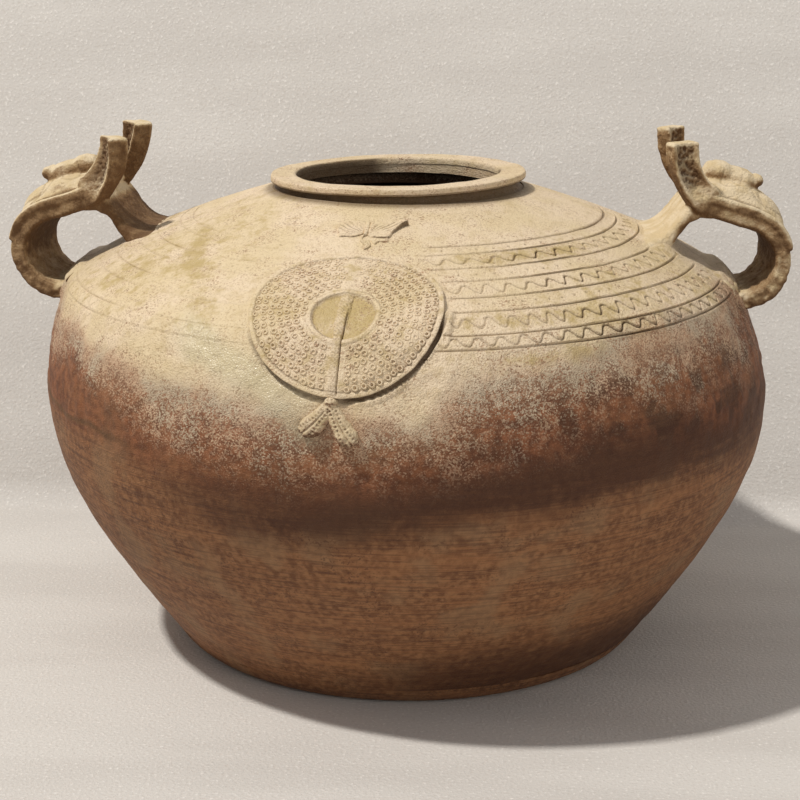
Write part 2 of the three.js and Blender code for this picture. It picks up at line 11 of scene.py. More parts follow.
import bpy
import numpy as np
from bpy.types import Material, Node, NodeSocket, NodeTree, Object
from mathutils import Euler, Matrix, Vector


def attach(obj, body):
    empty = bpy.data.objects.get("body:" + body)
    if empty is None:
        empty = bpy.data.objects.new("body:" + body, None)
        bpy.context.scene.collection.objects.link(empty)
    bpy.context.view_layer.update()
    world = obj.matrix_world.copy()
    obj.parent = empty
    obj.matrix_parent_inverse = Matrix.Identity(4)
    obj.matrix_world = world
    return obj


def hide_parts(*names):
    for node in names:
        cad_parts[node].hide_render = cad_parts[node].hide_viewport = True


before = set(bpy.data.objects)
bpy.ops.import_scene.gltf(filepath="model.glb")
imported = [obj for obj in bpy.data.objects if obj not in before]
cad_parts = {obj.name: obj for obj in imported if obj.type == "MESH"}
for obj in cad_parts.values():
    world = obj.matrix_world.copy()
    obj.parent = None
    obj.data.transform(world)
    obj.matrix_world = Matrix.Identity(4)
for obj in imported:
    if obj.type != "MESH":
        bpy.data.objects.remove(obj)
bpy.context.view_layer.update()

Array = np.ndarray
MM = 0.001
TAU = 2.0 * math.pi
# Numbers per vertex that the finish of the body reads: how much ash, red scorch, smoke and painted shade,
# olive, and cut lines with painted shade
MARKS = ("ash", "scorch", "dark", "olive", "groove")
log = logging.getLogger("jar")


# Small tools for numbers and curves


def smooth(value: Array, low: float, high: float) -> Array:
    """Ease from 0 to 1 between two limits.

    Args:
        value: numbers to ease.
        low: where the result is 0; it may be above high, which turns the slope round.
        high: where the result is 1.

    Returns:
        The eased numbers.
    """
    t = np.clip((np.asarray(value, float) - low) / (high - low), 0.0, 1.0)
    return t * t * (3.0 - 2.0 * t)


def bezier(corners: list[tuple[float, float]], count: int) -> Array:
    """Points of a cubic curve.

    Args:
        corners: its four control points.
        count: number of points.

    Returns:
        An array of count rows of two numbers.
    """
    t = np.linspace(0.0, 1.0, count)[:, None]
    a, b, c, d = (np.array(corner, float) for corner in corners)
    return (1 - t) ** 3 * a + 3 * (1 - t) ** 2 * t * b + 3 * (1 - t) * t * t * c + t ** 3 * d


def value_noise(points: Array, size: float, seed: int) -> Array:
    """Smooth unevenness between -1 and 1.

    Args:
        points: places, one row each.
        size: width of one swelling, in the units of the places.
        seed: picks the pattern.

    Returns:
        One number per place.
    """
    place = points / size + seed * 17.13
    cell = np.floor(place).astype(np.int64)
    part = place - cell
    part = part * part * (3.0 - 2.0 * part)
    total = np.zeros(len(points))
    for corner in range(8):
        bits = np.array([(corner >> k) & 1 for k in range(3)])
        at = cell + bits
        mixed = (at[:, 0] * 73856093) ^ (at[:, 1] * 19349663) ^ (at[:, 2] * 83492791)
        mixed = ((mixed + seed * 1013) ^ (mixed >> 13)) * 1274126177
        value = ((mixed >> 7) & 0xFFFF) / 32767.5 - 1.0
        total += value * np.prod(np.where(bits, part, 1.0 - part), axis=1)
    return total


def rough(points: Array, size: float, octaves: int, seed: int) -> Array:
    """Unevenness of several sizes, each half as wide and half as high as the one before.

    Args:
        points: places in millimetres, one row each.
        size: width of the widest swelling, in the units of the places.
        octaves: how many sizes are laid over each other.
        seed: picks the pattern.

    Returns:
        One number between -1 and 1 per place.
    """
    total = np.zeros(len(points))
    for k in range(octaves):
        total += value_noise(points, size / 2 ** k, seed + k) / 2 ** k
    return total / (2.0 - 0.5 ** (octaves - 1))


def hill(value: Array, middle: float, width: float) -> Array:
    """Bell curve: 1 at the middle, 0.37 a width away from it."""
    return np.exp(-((value - middle) / width) ** 2)


def unit(rows: Array) -> Array:
    """Flat vectors brought to a length of 1."""
    return rows / np.hypot(*rows.T)[:, None]


def round_axis(radius: Array, azimuth: Array, height: Array) -> Array:
    """Places from their radii, azimuths and heights."""
    return np.stack([radius * np.cos(azimuth), radius * np.sin(azimuth), height], -1)


def flat_places(u: Array, v: Array) -> Array:
    """Places in a plane, with a third number of 0."""
    return np.stack([u, v, np.zeros_like(u)], -1)


def run_along(line: Array) -> Array:
    """Distance along a line to each of its points."""
    return np.concatenate([[0.0], np.cumsum(np.hypot(*np.diff(line, axis=0).T))])


def polar_grid(rows: Array, columns: int, start: float) -> tuple[Array, Array]:
    """A grid of rows that each go round once.

    Args:
        rows: one number per row.
        columns: points in a row.
        start: angle of the first point.

    Returns:
        The row's number and the angle of every point, row by row.
    """
    angle = np.linspace(start, start + TAU, columns, endpoint=False)
    first, second = np.meshgrid(rows, angle, indexing="ij")
    return first.ravel(), second.ravel()


# Meshes


@dataclass
class Skin:
    """A closed surface in millimetres, with numbers per vertex that its finish reads."""

    points: Array
    faces: list[Array]
    marks: dict[str, Array] = field(default_factory=dict)


def grid_faces(rows: int, columns: int, wrap_rows: bool) -> Array:
    """Squares between rows of points that each go round once.

    Args:
        rows: number of rows.
        columns: points in a row.
        wrap_rows: whether the last row joins the first one.

    Returns:
        An array of four indices per square.
    """
    upto = rows if wrap_rows else rows - 1
    i, j = np.meshgrid(np.arange(upto), np.arange(columns), indexing="ij")
    after = (j + 1) % columns
    above = (i + 1) % rows
    square = [i * columns + j, i * columns + after, above * columns + after, above * columns + j]
    return np.stack(square, -1).reshape(-1, 4)


def fan_faces(centre: int, first: int, columns: int, turned: bool) -> Array:
    """Triangles from a centre to a row of points that goes round once.

    Args:
        centre: the place in the middle.
        first: index of the row's first point.
        columns: points in the row.
        turned: whether the triangles face the other way.

    Returns:
        An array of three indices per triangle.
    """
    j = np.arange(columns)
    after = (j + 1) % columns
    order = [first + after, first + j] if turned else [first + j, first + after]
    return np.stack([np.full(columns, centre), *order], -1)


def capped_faces(rows: int, columns: int) -> list[Array]:
    """Faces over rows that each go round once, with a fan at both ends.

    Args:
        rows: number of rows.
        columns: points in a row; the centres of the two fans follow after the last row.

    Returns:
        The squares and the triangles.
    """
    centre = rows * columns
    fans = [fan_faces(centre, 0, columns, True), fan_faces(centre + 1, centre - columns, columns, False)]
    return [grid_faces(rows, columns, False), *fans]


def marks_of(count: int, **values: object) -> dict[str, Array]:
    """Numbers per vertex for the finish, 0 where no value is given.

    Args:
        count: number of vertices.
        values: numbers, or arrays of them, by the name that the finish reads.

    Returns:
        One array per name.
    """
    return {name: np.zeros(count) + values.get(name, 0.0) for name in MARKS}


def signed_volume(skin: Skin) -> float:
    """Volume inside a surface, negative where its faces point inwards.

    Args:
        skin: the surface, in millimetres.

    Returns:
        Six times the volume, in cubic millimetres.
    """
    total = 0.0
    for part in skin.faces:
        a = skin.points[part[:, 0]]
        for k in range(1, part.shape[1] - 1):
            total += float(np.sum(a * np.cross(skin.points[part[:, k]], skin.points[part[:, k + 1]])))
    return total


def mesh_object(name: str, skin: Skin, finish: Material, crease: float = 60.0) -> Object:
    """Make an object of a closed surface, with its faces outwards.

    Args:
        name: name of the object and of its mesh.
        skin: the surface, in millimetres.
        finish: its material.
        crease: edges sharper than this many degrees stay sharp.

    Returns:
        The object, at the origin, in metres.
    """
    faces = skin.faces
    if signed_volume(skin) < 0.0:
        faces = [part[:, ::-1] for part in faces]
    mesh = bpy.data.meshes.new(name)
    mesh.vertices.add(len(skin.points))
    mesh.vertices.foreach_set("co", (skin.points * MM).astype(np.float32).ravel())
    corners = np.concatenate([part.ravel() for part in faces])
    sizes = np.concatenate([np.full(len(part), part.shape[1]) for part in faces])
    mesh.loops.add(len(corners))
    mesh.loops.foreach_set("vertex_index", corners.astype(np.int32))
    mesh.polygons.add(len(sizes))
    starts = np.concatenate([[0], np.cumsum(sizes)[:-1]])
    mesh.polygons.foreach_set("loop_start", starts.astype(np.int32))
    mesh.update(calc_edges=True)
    mesh.validate()
    mesh.shade_smooth()
    mesh.set_sharp_from_angle(angle=math.radians(crease))
    for mark, values in skin.marks.items():
        layer = mesh.attributes.new(mark, "FLOAT", "POINT")
        layer.data.foreach_set("value", np.clip(values, 0.0, 1.0).astype(np.float32))
    mesh.materials.append(finish)
    thing = bpy.data.objects.new(name, mesh)
    bpy.context.scene.collection.objects.link(thing)
    return thing


def plain_mesh(thing: Object) -> Object:
    """Turn an object with modifiers into a plain mesh.

    Args:
        thing: the object; its modifiers are removed.

    Returns:
        The same object.
    """
    seen = thing.evaluated_get(bpy.context.evaluated_depsgraph_get())
    mesh = bpy.data.meshes.new_from_object(seen)
    thing.modifiers.clear()
    old = thing.data
    thing.data = mesh
    mesh.name = thing.name
    bpy.data.meshes.remove(old)
    return thing


def mesh_points(thing: Object) -> Array:
    """Vertices of an object's mesh in millimetres.

    Args:
        thing: the object.

    Returns:
        The places, one row each.
    """
    flat = np.empty(len(thing.data.vertices) * 3, np.float32)
    thing.data.vertices.foreach_get("co", flat)
    return flat.reshape(-1, 3).astype(float) / MM


def mesh_normals(thing: Object) -> Array:
    """Directions in which an object's vertices face.

    Args:
        thing: the object.

    Returns:
        Unit vectors, one row each.
    """
    flat = np.empty(len(thing.data.vertices) * 3, np.float32)
    thing.data.vertex_normals.foreach_get("vector", flat)
    return flat.reshape(-1, 3).astype(float)


def eased(thing: Object, values: Array, passes: int) -> Array:
    """Numbers per vertex, averaged with those of the neighbours.

    Args:
        thing: the object whose edges say which vertices are neighbours.
        values: one number per vertex.
        passes: how many times they are averaged.

    Returns:
        The averaged numbers.
    """
    ends = np.empty(len(thing.data.edges) * 2, np.int32)
    thing.data.edges.foreach_get("vertices", ends)
    ends = ends.reshape(-1, 2)
    count = len(values)
    degree = 1.0 + np.bincount(ends[:, 0], minlength=count) + np.bincount(ends[:, 1], minlength=count)
    for _ in range(passes):
        total = values + np.bincount(ends[:, 0], values[ends[:, 1]], count)
        values = (total + np.bincount(ends[:, 1], values[ends[:, 0]], count)) / degree
    return values


def move_points(thing: Object, points: Array) -> None:
    """Put an object's vertices at places in millimetres."""
    thing.data.vertices.foreach_set("co", (points * MM).astype(np.float32).ravel())
    thing.data.update()


def mark_points(thing: Object, marks: dict[str, Array]) -> None:
    """Write numbers per vertex that the finish reads.

    Args:
        thing: the object.
        marks: numbers per vertex, by the name that the finish reads.
    """
    for mark, values in marks.items():
        layer = thing.data.attributes.get(mark) or thing.data.attributes.new(mark, "FLOAT", "POINT")
        layer.data.foreach_set("value", np.clip(values, 0.0, 1.0).astype(np.float32))


# Finishes


def linear(hexes: str) -> tuple[float, float, float, float]:
    """An sRGB hex value as linear red, green, blue and alpha."""
    parts = [int(hexes[i:i + 2], 16) / 255.0 for i in (1, 3, 5)]
    return (*[p / 12.92 if p <= 0.04045 else ((p + 0.055) / 1.055) ** 2.4 for p in parts], 1.0)


def add_node(
    tree: NodeTree,
    kind: str,
    settings: dict[str, object] | None = None,
    values: dict[object, object] | None = None,
    links: dict[object, NodeSocket] | None = None,
) -> Node:
    """Add a node with its settings, values and links.

    Args:
        tree: the tree it goes into.
        kind: the node's type.
        settings: properties of the node.
        values: values of its input sockets, by name or place.
        links: sockets that feed its inputs, by name or place.

    Returns:
        The node.
    """
    node = tree.nodes.new(kind)
    for key, value in (settings or {}).items():
        setattr(node, key, value)
    for key, value in (values or {}).items():
        node.inputs[key].default_value = value
    for key, source in (links or {}).items():
        tree.links.new(source, node.inputs[key])
    return node


class Shader:
    """A material's node tree, built from what a finish asks for."""

    def __init__(self, name: str) -> None:
        """Start an empty material with a principled surface.

        Args:
            name: name of the material.
        """
        self.material = bpy.data.materials.new(name)
        self.material.use_nodes = True
        self.tree = self.material.node_tree
        self.tree.nodes.clear()
        self.place = add_node(self.tree, "ShaderNodeTexCoord").outputs["Object"]
        self.surface = add_node(self.tree, "ShaderNodeBsdfPrincipled")
        links = {"Surface": self.surface.outputs[0]}
        self.output = add_node(self.tree, "ShaderNodeOutputMaterial", links=links)

    def mark(self, name: str) -> NodeSocket:
        """The number that the mesh holds under a name."""
        return add_node(self.tree, "ShaderNodeAttribute", {"attribute_name": name}).outputs["Fac"]

    def noise(
        self, size: float, detail: float = 2.0, stretch: tuple[float, float, float] = (1, 1, 1)
    ) -> NodeSocket:
        """Unevenness about 0.5.

        Args:
            size: width of one patch in millimetres.
            detail: how many finer sizes are laid over it.
            stretch: how many times longer the patches are along X, Y and Z.

        Returns:
            The socket of the value.
        """
        place = self.place
        if stretch != (1, 1, 1):
            scale = tuple(1.0 / s for s in stretch)
            place = add_node(self.tree, "ShaderNodeMapping", None, {"Scale": scale}, {0: place}).outputs[0]
        values = {"Scale": 1.0 / (size * MM), "Detail": detail}
        return add_node(self.tree, "ShaderNodeTexNoise", None, values, {"Vector": place}).outputs["Fac"]

    def cells(self, size: float) -> tuple[NodeSocket, NodeSocket]:
        """Small grains that lie side by side.

        Args:
            size: width of one grain in millimetres.

        Returns:
            The sockets of a chance value per grain and of the distance from its middle.
        """
        links = {"Vector": self.place}
        node = add_node(self.tree, "ShaderNodeTexVoronoi", None, {"Scale": 1.0 / (size * MM)}, links)
        parts = add_node(self.tree, "ShaderNodeSeparateColor", links={"Color": node.outputs["Color"]})
        return parts.outputs[0], node.outputs["Distance"]

    def reckon(self, how: str, a: object, b: object = 0.0, c: object = 0.0) -> NodeSocket:
        """A sum on sockets or numbers.

        Args:
            how: the name of the sum, as in MULTIPLY_ADD.
            a: first socket or number.
            b: second socket or number.
            c: third socket or number.

        Returns:
            The socket of the result.
        """
        values, links = {}, {}
        for k, term in enumerate((a, b, c)):
            (links if isinstance(term, NodeSocket) else values)[k] = term
        return add_node(self.tree, "ShaderNodeMath", {"operation": how}, values, links).outputs[0]

    def step(self, value: NodeSocket, low: float, high: float) -> NodeSocket:
        """Ease a value from 0 at low to 1 at high.

        Args:
            value: the socket to ease.
            low: the value that gives 0.
            high: the value that gives 1.

        Returns:
            The socket of the eased value.
        """
        settings = {"interpolation_type": "SMOOTHSTEP", "clamp": True}
        values = {"From Min": low, "From Max": high}
        if low > high:
            values = {"From Min": high, "From Max": low, "To Min": 1.0, "To Max": 0.0}
        node = add_node(self.tree, "ShaderNodeMapRange", settings, values, {"Value": value})
        return node.outputs["Result"]

    def mix(self, share: object, first: object, second: object) -> NodeSocket:
        """Blend two colours.

        Args:
            share: socket or number, 0 for the first colour and 1 for the second.
            first: a socket or an sRGB hex value.
            second: a socket or an sRGB hex value.

        Returns:
            The socket of the colour.
        """
        node = add_node(self.tree, "ShaderNodeMix", {"data_type": "RGBA", "clamp_factor": True})
        for index, term in ((0, share), (6, first), (7, second)):
            if isinstance(term, NodeSocket):
                self.tree.links.new(term, node.inputs[index])
            else:
                node.inputs[index].default_value = linear(term) if isinstance(term, str) else term
        return node.outputs[2]

    def stirred(self, level: NodeSocket, noise: NodeSocket, by: float) -> NodeSocket:
        """A level raised and lowered by an unevenness about 0.5.

        Args:
            level: the socket to change.
            noise: the socket of the unevenness.
            by: how strongly it acts.

        Returns:
            The socket of the changed level.
        """
        return self.reckon("MULTIPLY_ADD", self.reckon("SUBTRACT", noise, 0.5), by, level)

    def wash(
        self, under: object, over: object, value: NodeSocket, limits: tuple[float, float], most: float
    ) -> NodeSocket:
        """Lay a colour over another one where a value is high.

        Args:
            under: the colour below, a socket or an sRGB hex value.
            over: the colour laid over it.
            value: the socket that says where.
            limits: values of the socket at which the wash starts and is full.
            most: how far it covers where it is full, from 0 to 1.

        Returns:
            The socket of the colour.
        """
        return self.mix(self.reckon("MULTIPLY", self.step(value, *limits), most), under, over)

    def relief(self, height: NodeSocket, depth: float, below: NodeSocket | None = None) -> NodeSocket:
        """Fine unevenness too small for the mesh.

        Args:
            height: socket of the height, 0 to 1.
            depth: depth in millimetres.
            below: normal of a coarser layer.

        Returns:
            The socket of the normal.
        """
        links = {"Height": height}
        if below is not None:
            links["Normal"] = below
        values = {"Strength": 1.0, "Distance": depth * MM}
        return add_node(self.tree, "ShaderNodeBump", None, values, links).outputs["Normal"]

    def finish(self, colour: NodeSocket, normal: NodeSocket, rough_value: object, ior: float) -> Material:
        """Set the surface.

        Args:
            colour: socket of the colour.
            normal: socket of the normal.
            rough_value: socket or number.
            ior: index of refraction of the skin.

        Returns:
            The material.
        """
        self.tree.links.new(colour, self.surface.inputs["Base Color"])
        self.tree.links.new(normal, self.surface.inputs["Normal"])
        if isinstance(rough_value, NodeSocket):
            self.tree.links.new(rough_value, self.surface.inputs["Roughness"])
        else:
            self.surface.inputs["Roughness"].default_value = rough_value
        self.surface.inputs["IOR"].default_value = ior
        return self.material


@dataclass(frozen=True)
class AshGlazedStoneware:
    """Stoneware on which wood ash fell and melted in the kiln.

    The ash lies thick and straw-coloured where it fell, breaks into pale grains over red-brown clay
    at its lower edge, and pools olive in hollows. Bare clay below was wiped on the wheel. The mesh
    says where: ash is the cover, scorch the red edge, char its burns, dark the burnt band and some
    painted shade, olive the pools, pool the glossy run beside the disc and groove the cut lines and
    painted shade in corners, cracks and under the rim. Sizes are millimetres.
    """

    name: str = "ash_glazed_stoneware"
    straw: str = "#dcc69f"
    pale: str = "#e4ceae"
    tan: str = "#c4ab7e"
    olive: str = "#b59c62"
    cut_and_shade: str = "#573f22"
    frost: str = "#c3a182"
    grey_frost: str = "#c2ae93"
    scorched: str = "#895332"
    scorched_dark: str = "#683a20"
    burnt: str = "#45240f"
    clay: str = "#966a45"
    clay_dark: str = "#6e4629"
    clay_warm: str = "#9e6c44"
    clay_grey: str = "#957554"
    rust: str = "#50301f"
    melt: str = "#cbc2a0"
    speck: str = "#ab8d60"
    grain: float = 0.8
    crumb: float = 0.7
    peel: float = 3.4
    blot: float = 7.0
    wiped_stretch: float = 26.0
    line_stretch: float = 45.0
    spot: float = 1.3
    burn: float = 13.0
    patch: float = 34.0
    relief_depth: float = 0.5
    crumb_depth: float = 0.3
    glaze_roughness: float = 0.55
    clay_roughness: float = 0.7
    pool_gloss: float = -0.3
    ior: float = 1.42

    def bare_clay(self, s: Shader, blots: NodeSocket) -> NodeSocket:
        """Wiped clay: mottled, with faint marks of the wheel and small iron spots.

        Args:
            s: the tree that is being built.
            blots: unevenness of a few millimetres.

        Returns:
            The socket of its colour.
        """
        mottle = s.noise(3.2, 5.0)
        # Wiping on the wheel: streaks about 1 mm high and many times as long
        wiped = s.noise(1.0, 3.0, (self.wiped_stretch, self.wiped_stretch, 1.0))
        broad = s.noise(7.0, 3.0, (7.0, 7.0, 1.0))
        patches = s.noise(30.0, 4.0)
        clay = s.mix(s.step(mottle, 0.34, 0.66), self.clay_dark, self.clay)
        clay = s.wash(clay, self.clay_warm, wiped, (0.5, 0.62), most=0.5)
        lines = s.noise(0.75, 2.0, (self.line_stretch, self.line_stretch, 1.0))
        clay = s.wash(clay, self.rust, lines, (0.5, 0.64), most=0.36)
        clay = s.wash(clay, self.clay_warm, broad, (0.48, 0.66), most=0.35)
        clay = s.wash(clay, self.clay_grey, patches, (0.5, 0.66), most=0.5)
        # Iron spots of 1 to 2 mm that burst through the clay, gathered in patches
        gathered = s.step(s.noise(22.0, 3.0), 0.45, 0.6)
        spots = s.reckon("MULTIPLY", s.step(s.noise(self.spot, 2.0), 0.56, 0.64), gathered)
        clay = s.mix(s.reckon("MULTIPLY", spots, 0.6), clay, self.rust)
        # The burnt band, torn into streaks at its edges; the same mark also paints shade at the foot,
        # inside and under the tassels
        edge = s.stirred(s.stirred(s.mark("dark"), blots, 0.6), wiped, 0.5)
        clay = s.wash(clay, self.burnt, edge, (0.05, 0.95), most=0.88)
        clay = s.wash(clay, self.rust, lines, (0.5, 0.64), most=0.26)
        red = s.mix(s.step(s.noise(5.0, 5.0), 0.4, 0.6), self.scorched, self.scorched_dark)
        # Darker burns, 1 to 2 cm wide, most of them where the fire struck
        burns = s.reckon("MULTIPLY", s.step(s.noise(self.burn, 3.0), 0.46, 0.62), s.mark("char"))
        red = s.mix(burns, red, self.burnt)
        return s.mix(s.mark("scorch"), clay, red)

    def glaze(self, s: Shader, blots: NodeSocket) -> NodeSocket:
        """Melted ash: straw and peach, tan in spots, olive where it pooled.

        Args:
            s: the tree that is being built.
            blots: unevenness of a few millimetres.

        Returns:
            The socket of its colour.
        """
        glaze = s.mix(s.step(s.noise(self.patch, 3.0), 0.4, 0.6), self.straw, self.pale)
        glaze = s.wash(glaze, self.tan, blots, (0.52, 0.7), most=0.4)
        glaze = s.wash(glaze, self.speck, s.noise(1.1, 3.0), (0.5, 0.74), most=0.5)
        pooled = s.stirred(s.stirred(s.mark("olive"), blots, 1.6), s.noise(1.6, 2.0), 0.8)
        return s.wash(glaze, self.olive, pooled, (0.2, 1.0), most=0.8)

    def material(self) -> Material:
        """Build the node tree.

        Returns:
            The material.
        """
        s = Shader(self.name)
        ash, groove, pool = s.mark("ash"), s.mark("groove"), s.mark("pool")
        grains, blots = s.noise(self.grain, 1.0), s.noise(self.blot, 4.0)
        peel = s.noise(self.peel, 3.0)
        chance, off_middle = s.cells(self.crumb)
        clay, glaze = self.bare_clay(s, blots), self.glaze(s, blots)
        # Where the ash thins it turns pink or grey and frosted, and then breaks up into small grains
        frost = s.mix(s.step(s.noise(26.0, 3.0), 0.44, 0.6), self.frost, self.grey_frost)
        level, stains = ash, s.noise(19.0, 2.0)
        for noise, share in ((grains, 0.8), (chance, 0.9), (peel, 0.5), (blots, 0.8), (stains, 1.1)):
            level = s.stirred(level, noise, share)
        cover = s.reckon("MULTIPLY", s.step(level, 0.08, 0.86), s.step(ash, 0.0, 0.3))
        film = s.wash(glaze, frost, ash, (1.0, 0.66), most=0.9)
        haze = s.wash(clay, self.frost, ash, (0.1, 0.75), most=0.3)
        colour = s.mix(cover, haze, film)
        colour = s.mix(s.reckon("MULTIPLY", pool, 0.45), colour, self.melt)
        # Cut lines take the dark colour, and so does the painted shade that the groove mark carries
        colour = s.mix(s.reckon("MULTIPLY", groove, 0.92), colour, self.cut_and_shade)
        normal = s.relief(grains, self.relief_depth, s.relief(peel, self.relief_depth))
        # The crumbs of ash stand up where they lie apart on the clay
        crumbs = s.reckon("MULTIPLY", s.step(off_middle, 0.6, 0.1), s.step(ash, 0.95, 0.6))
        normal = s.relief(s.reckon("MULTIPLY", crumbs, cover), self.crumb_depth, normal)
        matt = self.clay_roughness
        gloss = s.reckon("MULTIPLY_ADD", cover, self.glaze_roughness - matt, matt)
        gloss = s.reckon("MULTIPLY_ADD", pool, self.pool_gloss, gloss)
        return s.finish(colour, normal, gloss, self.ior)


@dataclass(frozen=True)
class DryAshedClay:
    """Clay of the handles: dry pale ash on what looks up, brown bare clay on the sides and below."""

    name: str = "dry_ashed_clay"
    pale: str = "#dcc8a6"
    warm: str = "#cfb88f"
    brown: str = "#9a7c58"
    deep: str = "#674a2e"
    pit: str = "#4a2c12"
    mottle: float = 4.5
    grit: float = 1.1
    mottle_depth: float = 1.0
    grit_depth: float = 0.75
    roughness: float = 0.82
    ior: float = 1.38

    def material(self) -> Material:
        """Build the node tree.

        Returns:
            The material.
        """
        s = Shader(self.name)
        mottle, grit = s.noise(self.mottle, 4.0), s.noise(self.grit, 2.0)
        level = s.stirred(s.stirred(s.mark("ash"), mottle, 0.6), grit, 0.35)
        clay = s.mix(s.step(level, 0.0, 0.42), self.deep, self.brown)
        ash = s.mix(s.step(s.noise(9.0, 3.0), 0.4, 0.62), self.pale, self.warm)
        colour = s.mix(s.step(level, 0.3, 0.8), clay, ash)
        # Pits, pressed lines and painted shade on the horns' hollow faces take the pit colour
        colour = s.mix(s.reckon("MULTIPLY", s.mark("groove"), 0.96), colour, self.pit)
        normal = s.relief(grit, self.grit_depth, s.relief(mottle, self.mottle_depth))
        return s.finish(colour, normal, self.roughness, self.ior)


# Body


@dataclass
class JarOutline:
    """Outside of the body, from the foot to the neck, and its lean.

    Each pull is a handle of the curve at its place: a length and an angle in degrees.
    """

    foot_radius: float = 130.3
    foot_height: float = 10.0
    foot_pull: tuple[float, float] = (50.0, 53.4)
    belly_radius: float = 190.0
    belly_height: float = 135.0
    belly_pull_down: tuple[float, float] = (42.0, -90.0)
    belly_pull_up: tuple[float, float] = (33.0, 90.0)
    turn_radius: float = 174.7
    turn_height: float = 191.4
    turn_pull_down: tuple[float, float] = (-4.5, 117.5)
    turn_pull_up: tuple[float, float] = (17.2, 117.5)
    neck_radius: float = 66.0
    neck_height: float = 239.2
    neck_pull: tuple[float, float] = (-26.4, 165.0)
    steps: tuple[int, int, int] = (400, 300, 400)
    lean: float = 5.3
    lean_from: float = 110.0
    lean_to: float = 215.0

    def __post_init__(self) -> None:
        """Lay out the curve from the foot to the neck, and its lengths."""
        foot, belly = (self.foot_radius, self.foot_height), (self.belly_radius, self.belly_height)
        turn, neck = (self.turn_radius, self.turn_height), (self.neck_radius, self.neck_height)
        parts = (
            (foot, self.foot_pull, belly, self.belly_pull_down),
            (belly, self.belly_pull_up, turn, self.turn_pull_down),
            (turn, self.turn_pull_up, neck, self.neck_pull),
        )
        lines = []
        for (start, pull, stop, back), count in zip(parts, self.steps):
            line = bezier([start, self._off(start, *pull), self._off(stop, *back), stop], count)
            lines.append(line[1:] if lines else line)
        self.line = np.vstack(lines)
        self.run = run_along(self.line)
        self.total = float(self.run[-1])
        belly_at = self.steps[0] - 1
        turn_at = belly_at + self.steps[1] - 1
        self.belly_down = self.total - float(self.run[belly_at])
        self.turn_down = self.total - float(self.run[turn_at])

    @staticmethod
    def _off(point: tuple[float, float], length: float, degrees: float) -> tuple[float, float]:
        """A point moved by a length in a direction."""
        angle = math.radians(degrees)
        return (point[0] + length * math.cos(angle), point[1] + length * math.sin(angle))

    def at(self, down: Array, out: Array | float = 0.0) -> tuple[Array, Array]:
        """Radius and height of places on the slope.

        Args:
            down: distances down the slope from the neck.
            out: heights above the surface.

        Returns:
            Radii and heights.
        """
        at = self.total - np.asarray(down, float)
        (radius, height), (ahead_r, ahead_z), (back_r, back_z) = (
            [np.interp(at + step, self.run, self.line[:, k]) for k in (0, 1)] for step in (0.0, 1.0, -1.0)
        )
        along_r, along_z = ahead_r - back_r, ahead_z - back_z
        length = np.hypot(along_r, along_z)
        return radius + out * along_z / length, height - out * along_r / length

    def wrap(self, across: Array, azimuth: float, down: Array, out: Array) -> Array:
        """Bend flat places onto the slope.

        Args:
            across: distances round the body from an azimuth.
            azimuth: the azimuth in radians.
            down: distances down the slope.
            out: heights above the surface.

        Returns:
            Places, one row each.
        """
        flat_radius, _ = self.at(down)
        radius, height = self.at(down, out)
        return self.leaned(round_axis(radius, azimuth + across / flat_radius, height))

    def leaned(self, points: Array) -> Array:
        """Push places to the left as far as the jar leans at their height.

        Args:
            points: places in millimetres, one row each.

        Returns:
            The moved places.
        """
        moved = points.copy()
        moved[:, 0] -= self.lean * smooth(points[:, 2], self.lean_from, self.lean_to)
        return moved


@dataclass
class DiscPlace:
    """Where the stamped disc lies on the shoulder."""

    azimuth: float = math.radians(-94.4)
    down: float = 98.7
    radius: float = 44.5
    half_height: float = 42.4


@dataclass
class Places:
    """Places on the body: their azimuths, distances down the slope, radii, and plain X, Y and Z."""

    azimuth: Array
    down: Array
    radius: Array
    plain: Array

    def __post_init__(self) -> None:
        """Note the azimuths in degrees, and how far to the side and to the front the places lie."""
        self.degrees = np.degrees(self.azimuth)
        self.aside = np.abs(self.radius * np.cos(self.azimuth))
        self.front = np.abs(self.radius * np.sin(self.azimuth))

    def on_disc(self, disc: DiscPlace) -> tuple[Array, Array, Array, Array]:
        """The places as seen from the disc's centre.

        Args:
            disc: where the disc lies.

        Returns:
            Distances across and up, the share of the disc's radius, and the angle in degrees.
        """
        turned = (self.azimuth - disc.azimuth + math.pi) % TAU - math.pi
        across, up = turned * self.radius, disc.down - self.down
        share = np.hypot(across / disc.radius, up / disc.half_height)
        return across, up, share, np.degrees(np.arctan2(up, across))

    def noise(self, size: float, seed: int, stretch: float = 1.0) -> Array:
        """Unevenness between -1 and 1; stretch tells how much longer it is round the jar."""
        return value_noise(self.plain * np.array([1.0 / stretch, 1.0 / stretch, 1.0]), size, seed)


class Cut(Enum):
    """What a band between two ring lines holds."""

    WAVE = "wave"
    DOTS = "dots"


@dataclass
class Band:
    """One band of ornament between two ring lines; left is the share that stays left of the disc."""

    kind: Cut
    top: float
    bottom: float
    pitch: float
    half: float
    left: float
    seed: int


# The bands from the neck down: what they hold, its pitch, half its height, and the share left at the left
CARVED = (
    (Cut.DOTS, 8.8, 0.6, 0.9),
    (Cut.WAVE, 11.4, 2.6, 0.1),
    (Cut.DOTS, 8.6, 0.9, 0.9),
    (Cut.WAVE, 10.9, 3.1, 0.12),
    (Cut.DOTS, 7.2, 0.9, 0.5),
    (Cut.WAVE, 10.4, 3.2, 0.15),
    (Cut.WAVE, 10.7, 2.5, 0.45),
)
# One wave of the stick, quick up and slow down: shares of the pitch and heights
WAVE_AT = (0.0, 0.12, 0.3, 0.42, 0.56, 0.8, 1.0)
WAVE_HEIGHT = (-1.0, -0.55, 0.75, 1.0, 0.72, -0.55, -1.0)


